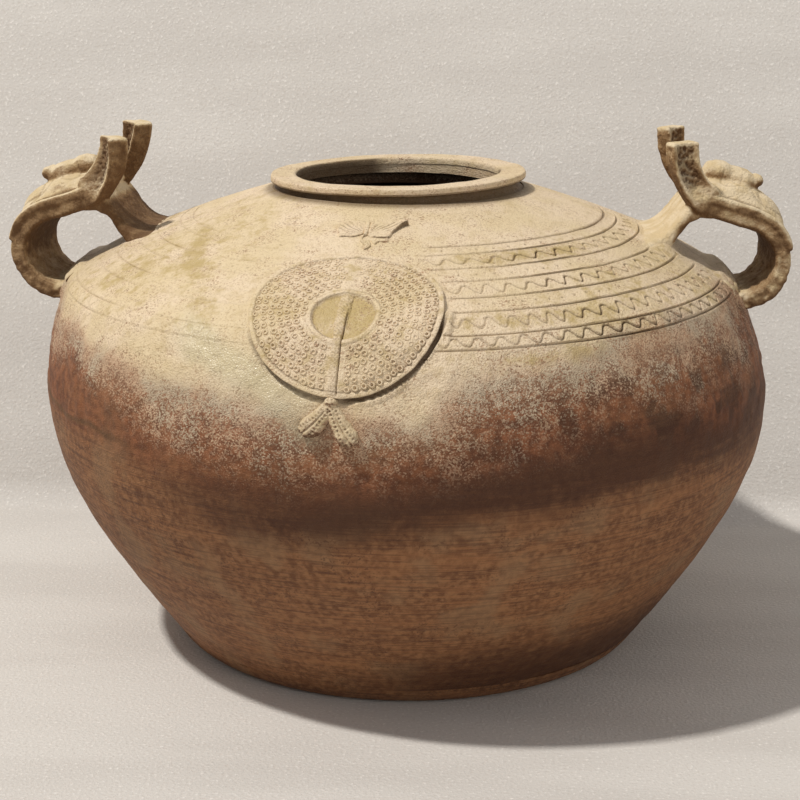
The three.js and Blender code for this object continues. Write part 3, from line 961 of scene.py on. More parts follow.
@dataclass
class ShoulderCarving:
    """Ring lines, waves and dots cut round the shoulder with a pointed stick."""

    outline: JarOutline
    disc: DiscPlace
    lines: tuple[float, ...] = (43.9, 51.2, 63.9, 74.2, 87.0, 97.0, 112.0, 119.7)
    line_depth: float = 1.0
    line_half: float = 0.52
    wave_depth: float = 0.95
    wave_half: float = 0.52
    dot_depth: float = 0.9
    dot_half: float = 0.9
    burr: float = 0.22
    foot_down: float = 79.0
    foot_half: float = 24.0
    root_half: float = 26.0
    root_start: float = 158.0

    def bands(self) -> list[Band]:
        """The bands from the neck down.

        Returns:
            The bands in order.
        """
        spans = zip(self.lines, self.lines[1:], CARVED)
        return [Band(kind, top, low, *rest, k) for k, (top, low, (kind, *rest)) in enumerate(spans, 1)]

    def firmness(self, degrees: Array, least: float) -> Array:
        """How deep the cuts are: firm at the right, and a least share of that left of the disc.

        Args:
            degrees: azimuths.
            least: the share that stays at the left.

        Returns:
            Shares from 0 to 1.
        """
        faint = smooth(degrees, -96.0, -106.0) * smooth(degrees, -178.0, -165.0)
        right = 0.75 + 0.25 * smooth(degrees, -80.0, -45.0)
        return (1.0 - (1.0 - least) * faint) * right

    def free(self, at: Places) -> Array:
        """1 where the shoulder is open to the stick, 0 under the disc and at the handles.

        Args:
            at: the places.

        Returns:
            Shares from 0 to 1.
        """
        across, up, share, _ = at.on_disc(self.disc)
        open_share = smooth(share, 1.05, 1.1)
        past = np.maximum(at.front - self.root_half, 0.0)
        root = np.hypot(past, np.maximum(self.root_start - at.aside, 0.0) * 0.9)
        foot = np.hypot(np.maximum(at.front - self.foot_half, 0.0) * 0.8, (at.down - self.foot_down) * 0.9)
        foot = np.where(at.aside > 60.0, foot, 99.0)
        # The lines are rubbed away between the disc and the bow
        open_share *= 1.0 - 0.9 * smooth(np.abs(across), 34.0, 24.0) * smooth(up, 30.0, 42.0)
        return open_share * smooth(root, 5.0, 9.0) * smooth(foot, 9.0, 14.0)

    def relief(self, at: Places) -> tuple[Array, Array]:
        """Depth of the cuts and how dark they are.

        Args:
            at: the places.

        Returns:
            Heights, mostly negative, and the marks of the grooves from 0 to 1.
        """
        ring = round_axis(np.ones_like(at.azimuth), at.azimuth, np.zeros_like(at.azimuth)) * 160.0
        down = at.down
        free = self.free(at)
        height, mark, picked = (np.zeros_like(down) for _ in range(3))
        near = (down > self.lines[0] - 6.0) & (down < self.lines[-1] + 6.0)
        picked[near] = 0.8 + 0.35 * value_noise(ring[near], 26.0, 40)
        firm = self.firmness(at.degrees, 0.5) * free * picked
        for k, line in enumerate(self.lines):
            close = np.abs(down - line) < 4.0
            sway = 0.35 * value_noise(ring[close], 45.0, 50 + k)
            sway += 0.12 * value_noise(ring[close], 9.0, 60 + k)
            distance = np.abs(down[close] - line - sway)
            self._cut(height, mark, close, distance, (self.line_half, self.line_depth), firm)
        for band in self.bands():
            inside = (down > band.top - 1.0) & (down < band.bottom + 1.0)
            middle = (band.top + band.bottom) / 2.0
            mean_radius = float(self.outline.at(np.array([middle]))[0][0])
            count = round(TAU * mean_radius / band.pitch)
            drift = 0.22 * value_noise(ring[inside], 30.0, 70 + band.seed)
            turns = at.azimuth[inside] / TAU * count + drift
            phase = turns - np.floor(turns)
            held = np.zeros_like(down)
            held[inside] = self.firmness(at.degrees[inside], band.left) * free[inside] * picked[inside]
            if band.kind is Cut.WAVE:
                size = 1.0 + 0.25 * value_noise(ring[inside], 14.0, 80 + band.seed)
                wave, slope = self._wave(phase)
                line = middle - band.half * size * wave
                steep = band.half * slope / band.pitch
                distance = np.abs(down[inside] - line) / np.sqrt(1.0 + steep * steep)
                self._cut(height, mark, inside, distance, (self.wave_half, self.wave_depth), held)
            else:
                along = (phase - 0.5) * band.pitch
                jitter = 0.7 * value_noise(np.stack([np.floor(turns)] * 3, -1) + 0.37, 1.0, band.seed)
                distance = np.hypot(along, (down[inside] - middle - jitter) * 1.1)
                share = smooth(distance, self.dot_half, 0.2)
                share *= held[inside] * smooth(at.degrees[inside], -38.0, -50.0)
                height[inside] -= self.dot_depth * share
                mark[inside] = np.maximum(mark[inside], share * 0.75)
        return height, mark

    @staticmethod
    def _wave(phase: Array) -> tuple[Array, Array]:
        """Height from -1 to 1 of a stick's wave, and its slope.

        Args:
            phase: how many waves lie before a place.

        Returns:
            Heights, and how steeply they change.
        """
        step = 0.04
        wave = np.interp(phase, WAVE_AT, WAVE_HEIGHT)
        ahead = np.interp((phase + step) % 1.0, WAVE_AT, WAVE_HEIGHT)
        back = np.interp((phase - step) % 1.0, WAVE_AT, WAVE_HEIGHT)
        return (wave + ahead + back) / 3.0, (ahead - back) / (2.0 * step)

    def _cut(
        self, height: Array, mark: Array, where: Array, distance: Array,
        size: tuple[float, float], firm: Array
    ) -> None:
        """Cut a line into heights, with a low burr on both sides.

        Args:
            height: heights, which are changed.
            mark: marks of the groove, which are changed.
            where: the places that the cut reaches.
            distance: distances of those places from the cut's middle.
            size: half of the cut's width, and its depth.
            firm: how firmly it was pressed, per place.
        """
        half, depth = size
        share = smooth(distance, half * 1.35, half * 0.25)
        burr = smooth(distance, half * 3.2, half * 1.9) * smooth(distance, half * 1.0, half * 1.7)
        height[where] += (self.burr * burr - depth * share) * firm[where]
        mark[where] = np.maximum(mark[where], share * firm[where] ** 1.8)


# Distances down the slope, by azimuth in degrees, at which the ash breaks up
ASH_EDGE = (
    (-180, 130), (-165, 130), (-150, 135), (-140, 141), (-130, 147), (-112, 153), (-100, 157), (-86, 156),
    (-74, 142), (-60, 134), (-45, 131), (-28, 128), (-10, 126), (20, 132), (60, 146), (100, 139),
    (140, 148), (180, 128),
)
# Distances down the slope of the burnt band under the ash
BURNT_LINE = (
    (-180, 178), (-158, 182), (-130, 188), (-110, 190), (-90, 188), (-70, 180), (-52, 172), (-30, 176),
    (0, 174), (60, 180), (110, 174), (150, 177), (180, 178),
)
# How dark the burnt band is; it all but fades out at the left front
BURNT_SHARE = (
    (-180, 0.35), (-150, 0.12), (-130, 0.12), (-112, 0.7), (-95, 0.9), (-60, 1.0), (-30, 0.85), (0, 0.7),
    (60, 0.6), (120, 0.5), (180, 0.35),
)
# Pieces of the wall above the belly, from the neck down, and the distance of their rows
WALL_BANDS = (
    ("crown", 1.1), ("band_upper", 0.52), ("band_middle", 0.55), ("band_lower", 0.55),
    ("band_edge", 0.56), ("turn", 1.25),
)


@dataclass
class JarBody:
    """Walls, neck, rim and base of the jar."""

    outline: JarOutline
    carving: ShoulderCarving
    disc: DiscPlace
    columns: int = 1800
    inner_rows: int = 6
    lower_step: float = 3.1
    last_band_end: float = 123.2
    wall: float = 8.0
    neck_bore: float = 53.6
    neck_foot: tuple[tuple[float, float], ...] = ((66.6, 0.0), (64.2, 1.2), (63.0, 3.0))
    neck_top_radius: float = 62.6
    neck_shadow_reach: float = 58.0
    neck_columns: int = 480
    neck_uneven: float = 0.2
    rim_columns: int = 720
    rim_uneven: float = 0.35
    rim_bore: float = 53.2
    rim_tip: float = 0.017
    rim_radius: float = 67.0
    rim_bottom: float = 243.4
    rim_top: float = 247.1
    rim_dish: float = 0.25
    rim_round: tuple[float, float] = (0.4, 0.55)
    bore_lit_middle: float = 57.0
    bore_lit_reach: tuple[float, float] = (42.0, 54.0)
    foot_columns: int = 360
    foot_inner: tuple[float, float] = (40.0, 90.0)
    foot_curve: tuple[tuple[float, float], ...] = ((118.5, 0.0), (122.4, 0.0), (126.4, 3.4))

    def places(self, downs: Array) -> Places:
        """Places all round the body at some distances down the slope, without relief.

        Args:
            downs: the distances, one row of places each.

        Returns:
            The places, row by row.
        """
        down, azimuth = polar_grid(downs, self.columns, -math.pi)
        radius, height = self.outline.at(down)
        return Places(azimuth, down, radius, round_axis(radius, azimuth, height))

    def surface(self, downs: Array) -> Skin:
        """Outside of the body over some distances down the slope.

        Args:
            downs: the distances, one row of points each.

        Returns:
            The points row by row, without faces, and their marks.
        """
        at = self.places(downs)
        down = at.down
        height = 0.55 * at.noise(70.0, 3) + 0.22 * at.noise(24.0, 4)
        height += 0.1 * at.noise(6.0, 5) + 0.05 * at.noise(2.2, 6)
        lower = smooth(down, 120.0, 175.0)
        # Marks of the wheel: low ridges that run round, plainer towards the foot
        height += 0.16 * at.noise(3.4, 8, 20.0) * (0.3 + 0.7 * lower)
        height += 0.22 * at.noise(9.0, 9, 2.5) * lower
        # The skin is like orange peel where the ash breaks up
        peel = smooth(down, 112.0, 132.0) * smooth(down, 190.0, 172.0)
        height += peel * (0.42 * at.noise(4.4, 17) + 0.6 * at.noise(13.0, 18))
        cuts, groove = self.carving.relief(at)
        height += cuts + self.luting(at)
        points = self.outline.wrap(at.azimuth * at.radius, 0.0, down, height)
        # Painted shade darkens the corner under the rim
        painted_rim_shade = 0.75 * smooth(down, 7.0, 1.0)
        # A seam shows at the left, where the upper half was set on the lower one
        seam = 173.0 + 0.12 * (at.degrees + 150.0) + 2.5 * at.noise(16.0, 23)
        seam = smooth(np.abs(down - seam), 2.4, 0.6) * smooth(np.abs(at.degrees + 147.0), 22.0, 12.0)
        marks = self.marks(at)
        marks["groove"] = np.maximum.reduce([groove, self.disc_crack_and_shade(at), painted_rim_shade, 0.7 * seam])
        return Skin(points, [], marks)

    def luting(self, at: Places) -> Array:
        """Height of the clay smeared under the disc and round the feet of the handles.

        Args:
            at: the places.

        Returns:
            Heights in millimetres, per place.
        """
        across, up, place, turned = at.on_disc(self.disc)
        # Clay squeezed out from under the disc, most at its lower right
        part = smooth(turned, -88.0, -80.0) * smooth(turned, -14.0, -30.0)
        wander = 0.02 * at.noise(9.0, 21) - 0.03 * smooth(turned, -40.0, -75.0)
        smear = (0.8 + 0.35 * at.noise(3.5, 22)) * smooth(place + wander, 1.078, 1.062) * part
        around = 0.8 * hill(np.maximum(place - 1.0, 0.0), 0.0, 0.04) * (place > 0.9)
        # A fillet round the foot of each inner leg, and a lumpy pad round each lower root
        foot = np.hypot(np.maximum(at.front - 31.0, 0.0), at.down - self.carving.foot_down)
        right_most = np.where(np.cos(at.azimuth) > 0.0, 1.0, 0.2)
        fillet = 3.4 * hill(foot, 0.0, 7.0) * (at.aside > 60.0) * right_most
        root = np.hypot(np.maximum(at.front - 25.0, 0.0), np.maximum(np.abs(at.down - 118.0) - 7.0, 0.0))
        lumps = 1.0 + 0.5 * rough(at.plain, 7.0, 3, 31)
        pad = 2.4 * hill(root, 0.0, 6.0) * (at.aside > 120.0) * lumps * smooth(at.down, 104.0, 112.0)
        # Room under the disc, a lump beside it and the crack along its edge
        under = -2.2 * smooth(place, 0.97, 0.91)
        lump = 2.2 * np.exp(-(((across - 46.8) / 2.6) ** 4 + ((up + 6.0) / 7.5) ** 4))
        crack = -1.5 * self.disc_crack_and_shade(at)
        return smear + around + fillet + pad + under + lump + crack

    def disc_crack_and_shade(self, at: Places) -> Array:
        """Crack under the disc's edge, open at the lower right, darkened with painted shade.

        Args:
            at: the places.

        Returns:
            Marks of the groove from 0 to 1.
        """
        _, _, place, turned = at.on_disc(self.disc)
        open_part = smooth(turned, -92.0, -80.0) * smooth(turned, 2.0, -12.0)
        closed_part = smooth(turned, -165.0, -150.0) * smooth(turned, -70.0, -90.0)
        return smooth(np.abs(place - 1.02), 0.044, 0.022) * (open_part + 0.55 * closed_part)

    def marks(self, at: Places) -> dict[str, Array]:
        """Where ash, scorch, the burnt band and the olive pools lie.

        Args:
            at: the places.

        Returns:
            One array from 0 to 1 for each name that the finish reads, but the grooves.
        """
        down, degrees = at.down, at.degrees
        edge, burnt, burnt_share = (
            np.interp(degrees, *np.array(table, float).T) for table in (ASH_EDGE, BURNT_LINE, BURNT_SHARE)
        )
        edge = edge + (9.0 * at.noise(30.0, 11) + 5.0 * rough(at.plain, 12.0, 3, 12))
        # Loose crumbs trail far below the edge in front, less far at the left
        trail = 30.0 + 18.0 * smooth(degrees, -128.0, -95.0)
        ash = 0.68 * smooth(down, edge + 16.0, edge - 20.0) + 0.32 * smooth(down, edge + trail, edge - 2.0)
        burnt = burnt + 4.0 * at.noise(35.0, 13)
        streak = (1.0 + 0.3 * at.noise(3.0, 14, 12.5)) * burnt_share
        scorch = smooth(down, edge - 12.0, edge + 2.0) * smooth(down, burnt + 4.0, burnt - 18.0)
        scorch *= 0.8 + 0.3 * at.noise(22.0, 16)
        # Glossy melted ash ran down between the disc and the left tassel
        middle = 118.0 + (degrees + 120.0) * 1.45
        pool = smooth(np.abs(down - middle + 5.0 * at.noise(12.0, 19)), 15.0, 5.0)
        pool *= smooth(degrees, -125.0, -117.0) * smooth(degrees, -95.0, -101.0)
        dark = smooth(down, burnt - 26.0, burnt - 6.0) * smooth(down, burnt + 34.0, burnt + 2.0) * streak
        # Painted shade darkens the foot at the right, towards the floor
        painted_foot_shade = smooth(degrees, -108.0, -72.0) * smooth(degrees, 80.0, 20.0)
        dark = np.maximum(dark, 0.75 * smooth(down, 262.0, 308.0) * painted_foot_shade)
        struck = smooth(degrees, -88.0, -48.0) * smooth(degrees, 60.0, 10.0)
        char = (0.25 + 0.75 * struck) * smooth(down, edge - 16.0, edge + 12.0)
        olive = self.olive(at)
        return {"ash": ash, "scorch": scorch, "char": char, "dark": dark, "olive": olive, "pool": pool}

    def olive(self, at: Places) -> Array:
        """Where the ash pooled olive: chance patches, two bands of waves, a streak and a thin low wash.

        Args:
            at: the places.

        Returns:
            Marks from 0 to 1.
        """
        down, degrees = at.down, at.degrees
        olive = smooth(at.noise(42.0, 15), 0.15, 0.75) * smooth(down, 30.0, 50.0)
        wide = hill(degrees, -52.0, 20.0) * hill(down, 57.0, 6.5)
        low = hill(degrees, -55.0, 22.0) * hill(down, 104.0, 7.0)
        under_lines = hill(degrees, -60.0, 16.0) * hill(down, 126.0, 6.0)
        streaked = hill(degrees + 139.0 - (down - 60.0) * 0.55, 0.0, 7.0)
        streaked *= smooth(down, 30.0, 45.0) * smooth(down, 90.0, 78.0)
        left = 0.4 * smooth(degrees, -112.0, -135.0) * smooth(degrees, -178.0, -165.0)
        left *= smooth(down, 130.0, 100.0)
        right = 0.38 * smooth(degrees, -72.0, -48.0) * smooth(degrees, 10.0, -10.0)
        right *= smooth(down, 60.0, 84.0)
        washes = np.maximum(left, right) * smooth(down, 150.0, 130.0)
        return np.maximum.reduce([olive * 0.6, wide, low * 0.7, under_lines * 0.8, streaked * 0.8, washes])

    def shell(self, name: str, downs: Array, finish: Material) -> Object:
        """A ring of the wall between two distances down the slope.

        Args:
            name: name of the piece.
            downs: distances of its rows, from the top one down.
            finish: its material.

        Returns:
            The object.
        """
        outer = self.surface(downs)
        inner_downs = np.linspace(downs[-1], downs[0], self.inner_rows)
        down, azimuth = polar_grid(inner_downs, self.columns, -math.pi)
        radius, height = self.outline.at(down, -self.wall)
        inner = self.outline.leaned(round_axis(radius, azimuth, height))
        points = np.vstack([outer.points, inner])
        # No ash fell inside: bare clay, and painted shade darkens it through the dark and groove marks
        inside = {"dark": 1.0, "groove": 0.5}
        marks = {}
        for key, values in outer.marks.items():
            marks[key] = np.concatenate([values, np.full(len(inner), inside.get(key, 0.0))])
        faces = grid_faces(len(downs) + self.inner_rows, self.columns, True)
        thing = mesh_object(name, Skin(points, [faces], marks), finish)
        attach(thing, "root")
        log.info("%s: %d faces", name, len(thing.data.polygons))
        return thing

    def build(self, finish: Material) -> None:
        """Make all pieces of the body.

        Args:
            finish: its material.
        """
        # The wall is cut along every second ring line, where a joint doesn't show
        rings, belly, foot = self.carving.lines, self.outline.belly_down, self.outline.total
        cuts = [0.0, rings[0], rings[2], rings[4], rings[6], self.last_band_end, belly]
        for (name, step), top, bottom in zip(WALL_BANDS, cuts, cuts[1:]):
            count = max(2, round((bottom - top) / step)) + 1
            piece = self.shell("shoulder_" + name, np.linspace(top, bottom, count), finish)
            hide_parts("shoulder")
        downs = np.linspace(belly, foot, round((foot - belly) / self.lower_step) + 1)
        lower = self.shell("lower_wall", downs, finish)
        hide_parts("lower_body")
        self.base(finish)
        self.neck(finish)
        self.rim(finish)

    def turned(
        self, name: str, profile: Array, columns: int, marks: dict[str, object],
        finish: Material, slot: str, unevenness: float
    ) -> Object:
        """A ring of the mouth, turned from a closed section.

        Args:
            name: name of the piece.
            profile: radii and heights round the section.
            columns: points round the jar.
            marks: numbers for the finish, one for all or one per point of the section.
            finish: its material.
            slot: not used.
            unevenness: height of the unevenness.

        Returns:
            The object.
        """
        radius, azimuth = polar_grid(profile[:, 0], columns, -math.pi)
        height = np.repeat(profile[:, 1], columns)
        plain = round_axis(radius, azimuth, height)
        swell = unevenness * (value_noise(plain, 30.0, 41) + 0.5 * value_noise(plain, 9.0, 42))
        # The rim tips a little, lower at the left
        tip = self.rim_tip * plain[:, 0] * smooth(height, self.rim_bottom - 4.0, self.rim_bottom)
        plain[:, 2] += swell + tip
        sway = 1.0 + 0.8 * swell / 60.0
        plain[:, :2] *= sway[:, None]
        even = marks_of(len(profile), **marks)
        ring = Skin(self.outline.leaned(plain), [grid_faces(len(profile), columns, True)])
        ring.marks = {key: np.repeat(values, columns) for key, values in even.items()}
        thing = mesh_object(name, ring, finish)
        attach(thing, "root")
        log.info("%s: %d faces", name, len(thing.data.polygons))
        return thing

    def base(self, finish: Material) -> None:
        """The flat base with its turned foot.

        Args:
            finish: its material.
        """
        top, (inner, outer) = self.outline.foot_height, self.foot_inner
        foot = bezier([*self.foot_curve, (self.outline.foot_radius, top)], 12)
        section = np.vstack([[(inner, 0.0), (outer, 0.0)], foot, [(outer, top), (inner, top)]])
        radius, azimuth = polar_grid(section[:, 0], self.foot_columns, -math.pi)
        points = round_axis(radius, azimuth, np.repeat(section[:, 1], self.foot_columns))
        points = np.vstack([points, [(0.0, 0.0, 0.0), (0.0, 0.0, top)]])
        faces = capped_faces(len(section), self.foot_columns)
        # Painted shade darkens the foot through the dark mark
        thing = mesh_object("foot_disc", Skin(points, faces, marks_of(len(points), dark=0.3)), finish)
        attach(thing, "root")
        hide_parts("base_disc")

    def neck(self, finish: Material) -> None:
        """The short neck under the rim.

        Args:
            finish: its material.
        """
        low, high, bore = self.outline.neck_height - 0.6, self.rim_bottom + 0.4, self.neck_bore
        outside = [(radius, low + above) for radius, above in self.neck_foot]
        section = np.array([*outside, (self.neck_top_radius, high), (bore, high), (bore, low)])
        # The outer neck under the rim is olive, with painted shade through the groove mark
        seen = (section[:, 0] > 60.0).astype(float)
        marks = {"ash": 0.85, "olive": 0.1 + 0.6 * seen, "groove": 0.05 + 0.85 * seen}
        ring = self.turned("neck", section, self.neck_columns, marks, finish, "rim_glaze", self.neck_uneven)
        self.paint_bore_shadow(ring, self.neck_shadow_reach)
        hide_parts("neck_ring")

    def paint_bore_shadow(self, ring: Object, reach: float) -> None:
        """Paint shadow on the inside of a ring, except on the back right wall that the lamp lights.

        Args:
            ring: the ring.
            reach: radius inside which it is darkened.
        """
        x, y, _ = (mesh_points(ring) + (self.outline.lean, 0.0, 0.0)).T
        inside = smooth(np.hypot(x, y), reach, reach - 1.0)
        bore_shadow = smooth(np.abs(np.degrees(np.arctan2(y, x)) - self.bore_lit_middle), *self.bore_lit_reach)
        groove = np.empty(len(x), np.float32)
        ring.data.attributes["groove"].data.foreach_get("value", groove)
        mark_points(ring, {"groove": groove * (1.0 - inside) + (0.05 + 0.9 * bore_shadow) * inside})

    def rim(self, finish: Material) -> None:
        """The broad flat rim with softened edges.

        Args:
            finish: its material.
        """
        low, high, out, bore = self.rim_bottom, self.rim_top, self.rim_radius, self.rim_bore
        half = (high - low) / 2.0
        nose = []
        for a in np.radians(np.linspace(-89.0, 89.0, 21)):
            wide, tall = math.cos(a) ** self.rim_round[0], abs(math.sin(a)) ** self.rim_round[1]
            nose.append((out - half + half * wide, low + half + half * math.copysign(tall, a)))
        flat = []
        for r in np.linspace(out - half - 2.0, bore + 2.5, 10):
            flat.append((r, high - self.rim_dish * math.sin(math.pi * (r - bore) / (out - bore))))
        inside = [(bore + 1.0, high - 0.15), (bore + 0.3, high - 0.8), (bore, high - 2.0), (bore, low)]
        under = [(r, low) for r in np.linspace(bore + 3.0, out - half - 2.0, 4)]
        section = np.array(nose + flat + inside + under)
        # Painted shade on the underside of the rim, through the groove mark
        below = (section[:, 1] < low + 0.9).astype(float)
        marks = {"ash": 0.93, "olive": 0.1, "groove": 0.7 * below}
        ring = self.turned("rim", section, self.rim_columns, marks, finish, "rim_glaze", self.rim_uneven)
        self.paint_bore_shadow(ring, bore + 1.3)
        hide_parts("rim_ring")


# Disc, tassels and bow on the shoulder


def scatter(name: str, places: Array, sizes: dict[str, float], finish: Material) -> Object:
    """Set small raised rings on flat places with Geometry Nodes.

    Args:
        name: name of the object.
        places: centres of the rings in millimetres, with Z out of the clay.
        sizes: Ring Radius, Ring Thickness and Spread of the sizes, and the Seed.
        finish: its material.

    Returns:
        The object as a plain mesh, still flat.
    """
    mesh = bpy.data.meshes.new(name)
    mesh.from_pydata([tuple(place * MM) for place in places], [], [])
    thing = bpy.data.objects.new(name, mesh)
    bpy.context.scene.collection.objects.link(thing)
    tree = bpy.data.node_groups.new(name + "_tree", "GeometryNodeTree")
    face = tree.interface
    face.new_socket("Geometry", in_out="INPUT", socket_type="NodeSocketGeometry")
    for key in sizes:
        kind = "NodeSocketInt" if key == "Seed" else "NodeSocketFloat"
        face.new_socket(key, in_out="INPUT", socket_type=kind)
    face.new_socket("Geometry", in_out="OUTPUT", socket_type="NodeSocketGeometry")
    entry = add_node(tree, "NodeGroupInput").outputs
    circle = "GeometryNodeCurvePrimitiveCircle"
    path = add_node(tree, circle, None, {"Resolution": 10}, {"Radius": entry["Ring Radius"]}).outputs[0]
    rod = add_node(tree, circle, None, {"Resolution": 5}, {"Radius": entry["Ring Thickness"]}).outputs[0]
    ring = add_node(tree, "GeometryNodeCurveToMesh", links={"Curve": path, "Profile Curve": rod}).outputs[0]
    least, most = (
        add_node(tree, "ShaderNodeMath", {"operation": how}, {0: 1.0}, {1: entry["Spread"]}).outputs[0]
        for how in ("SUBTRACT", "ADD")
    )
    links = {"Min": least, "Max": most, "Seed": entry["Seed"]}
    chance = add_node(tree, "FunctionNodeRandomValue", {"data_type": "FLOAT"}, None, links)
    # The float result is the second of the node's four outputs
    links = {"Points": entry["Geometry"], "Instance": ring, "Scale": chance.outputs[1]}
    placed = add_node(tree, "GeometryNodeInstanceOnPoints", links=links)
    real = add_node(tree, "GeometryNodeRealizeInstances", links={0: placed.outputs[0]})
    shaded = add_node(tree, "GeometryNodeSetShadeSmooth", links={0: real.outputs[0]}).outputs[0]
    dressed = add_node(tree, "GeometryNodeSetMaterial", None, {"Material": finish}, {0: shaded})
    add_node(tree, "NodeGroupOutput", links={0: dressed.outputs[0]})
    modifier = thing.modifiers.new("scatter", "NODES")
    modifier.node_group = tree
    for item in face.items_tree:
        if item.in_out == "INPUT" and item.name in sizes:
            value = sizes[item.name]
            modifier[item.identifier] = int(value) if item.name == "Seed" else value
    return plain_mesh(thing)


@dataclass
class StampedDisc:
    """Flat disc with a raised border, rings of stamps, a hollow centre and a cord across it."""

    outline: JarOutline
    place: DiscPlace
    thickness: float = 2.7
    border: float = 1.9
    drop: float = 0.4
    thinned: float = 1.1
    hollow_radius: float = 14.4
    hollow_depth: float = 1.5
    ring_radius: float = 15.8
    ring_down: float = 2.5
    ring_half: float = 0.95
    ring_rise: float = 0.55
    band_half: float = 2.0
    band_rise: float = 0.5
    band_line: tuple = ((-0.8, 39.2), (1.5, 10.6), (-3.0, -42.4))
    plait: float = 1.9
    slit_depth: float = 0.8
    stamp_rows: tuple[float, ...] = (18.3, 22.0, 25.8, 29.6, 33.4, 37.2, 40.9)
    stamp_pitch: float = 3.85
    stamp_radius: float = 1.05
    stamp_thickness: float = 0.46
    stamp_spread: float = 0.12
    stamp_flatness: float = 1.35
    cup_depth: float = 0.12
    # How far out and how far down the edge runs on its way into the shoulder
    edge_steps: tuple = ((0.3, 0.08), (0.5, 0.3), (0.5, 0.6), (0.45, 2.6), (0.4, 5.5))
    overhang: float = 1.5
    underside: float = -2.5
    columns: int = 560
    rows: int = 88

    def band_path(self, up: Array) -> Array:
        """How far across the cord lies at a distance up from the centre.

        Args:
            up: distances up the slope from the disc's middle.

        Returns:
            The distances across, in millimetres.
        """
        t = np.linspace(0.0, 1.0, 60)
        start, middle, end = self.band_line
        first, second, third = (1 - t) ** 2, 2 * (1 - t) * t, t * t
        across, height = (first * start[k] + second * middle[k] + third * end[k] for k in (0, 1))
        return np.interp(up, height[::-1], across[::-1])

    def stamps(self) -> Array:
        """Centres of the stamps, in uneven rings between the hollow and the border.

        Returns:
            The centres, across and up, one row each.
        """
        chance = np.random.default_rng(7)
        centres = []
        for k, radius in enumerate(self.stamp_rows):
            count = round(TAU * radius / self.stamp_pitch)
            angle = (np.arange(count) + 0.37 * k) * TAU / count + chance.normal(0.0, 0.012, count)
            reach = radius + chance.normal(0.0, 0.28, count)
            squeeze = 1.0 - (1.0 - self.place.half_height / self.place.radius) * radius / 40.0
            centres.append(np.stack([reach * np.cos(angle), reach * np.sin(angle) * squeeze], -1))
        flat = np.vstack(centres)
        clear = np.abs(flat[:, 0] - self.band_path(flat[:, 1])) > self.band_half + 1.3
        clear &= np.hypot(flat[:, 0], flat[:, 1] + self.ring_down) > self.ring_radius + 1.9
        return flat[clear]

    def fresh(self, u: Array, v: Array) -> Array:
        """How little the stamps are worn: rubbed near the cord's upper half, sharp below and at the sides.

        Args:
            u: distances across.
            v: distances up the slope.

        Returns:
            Shares from 0, worn off, to 1.
        """
        rubbed = hill(u, 1.0, 8.0) * smooth(v, 6.0, 20.0)
        return np.clip(0.85 + 0.3 * value_noise(flat_places(u, v), 10.0, 99) - 0.4 * rubbed, 0.2, 1.0)

    def edge(self, turned: Array) -> Array:
        """Share of the full radius at an angle, for an outline pressed by hand."""
        ring = flat_places(np.cos(turned), np.sin(turned)) * 40.0
        return 1.0 + 0.012 * value_noise(ring, 17.0, 90) + 0.006 * value_noise(ring, 4.0, 91)

    def height(self, u: Array, v: Array, inset: Array) -> tuple[Array, Array, Array]:
        """Relief of the disc's face.

        Args:
            u: distances across.
            v: distances up the slope.
            inset: distances in from the edge.

        Returns:
            Heights, marks of the grooves and marks of the olive pools.
        """
        flat = flat_places(u, v)
        top = np.full_like(u, self.thickness - self.drop)
        uneven = 0.3 * value_noise(flat, 13.0, 92) + 0.14 * value_noise(flat, 4.0, 93)
        top += uneven + 0.06 * value_noise(flat, 1.6, 94)
        top += self.drop * smooth(inset, self.border + 0.3, self.border - 0.5)
        # The disc was pressed thinner towards its lower right edge
        turned = np.degrees(np.arctan2(v, u))
        lower_right = smooth(turned, -95.0, -75.0) * smooth(turned, 0.0, -20.0)
        top -= self.thinned * smooth(inset, 8.0, 1.0) * lower_right
        groove = smooth(np.abs(inset - self.border - 0.4), 0.7, 0.1) * 0.55
        top -= 0.35 * groove
        # The hollow centre and the raised ring round it
        middle = np.hypot(u, v + self.ring_down)
        bowl = smooth(middle, self.hollow_radius + 0.3, self.hollow_radius - 1.0)
        top -= self.hollow_depth * bowl
        ring = np.clip(1.0 - ((middle - self.ring_radius) / self.ring_half) ** 2, 0.0, 1.0)
        worn = (0.75 + 0.3 * value_noise(flat, 8.0, 95)) * (0.55 + 0.45 * smooth(u, -8.0, 10.0))
        top += self.ring_rise * np.sqrt(ring) * worn
        inner_line = smooth(np.abs(middle - self.hollow_radius - 0.1), 0.6, 0.1)
        inner_line *= 0.6 + 0.4 * smooth(u, 4.0, -6.0)
        outer_line = smooth(np.abs(middle - self.ring_radius - self.ring_half - 0.2), 0.6, 0.1)
        groove = np.maximum.reduce([groove, 0.5 * inner_line, 0.55 * worn * outer_line])
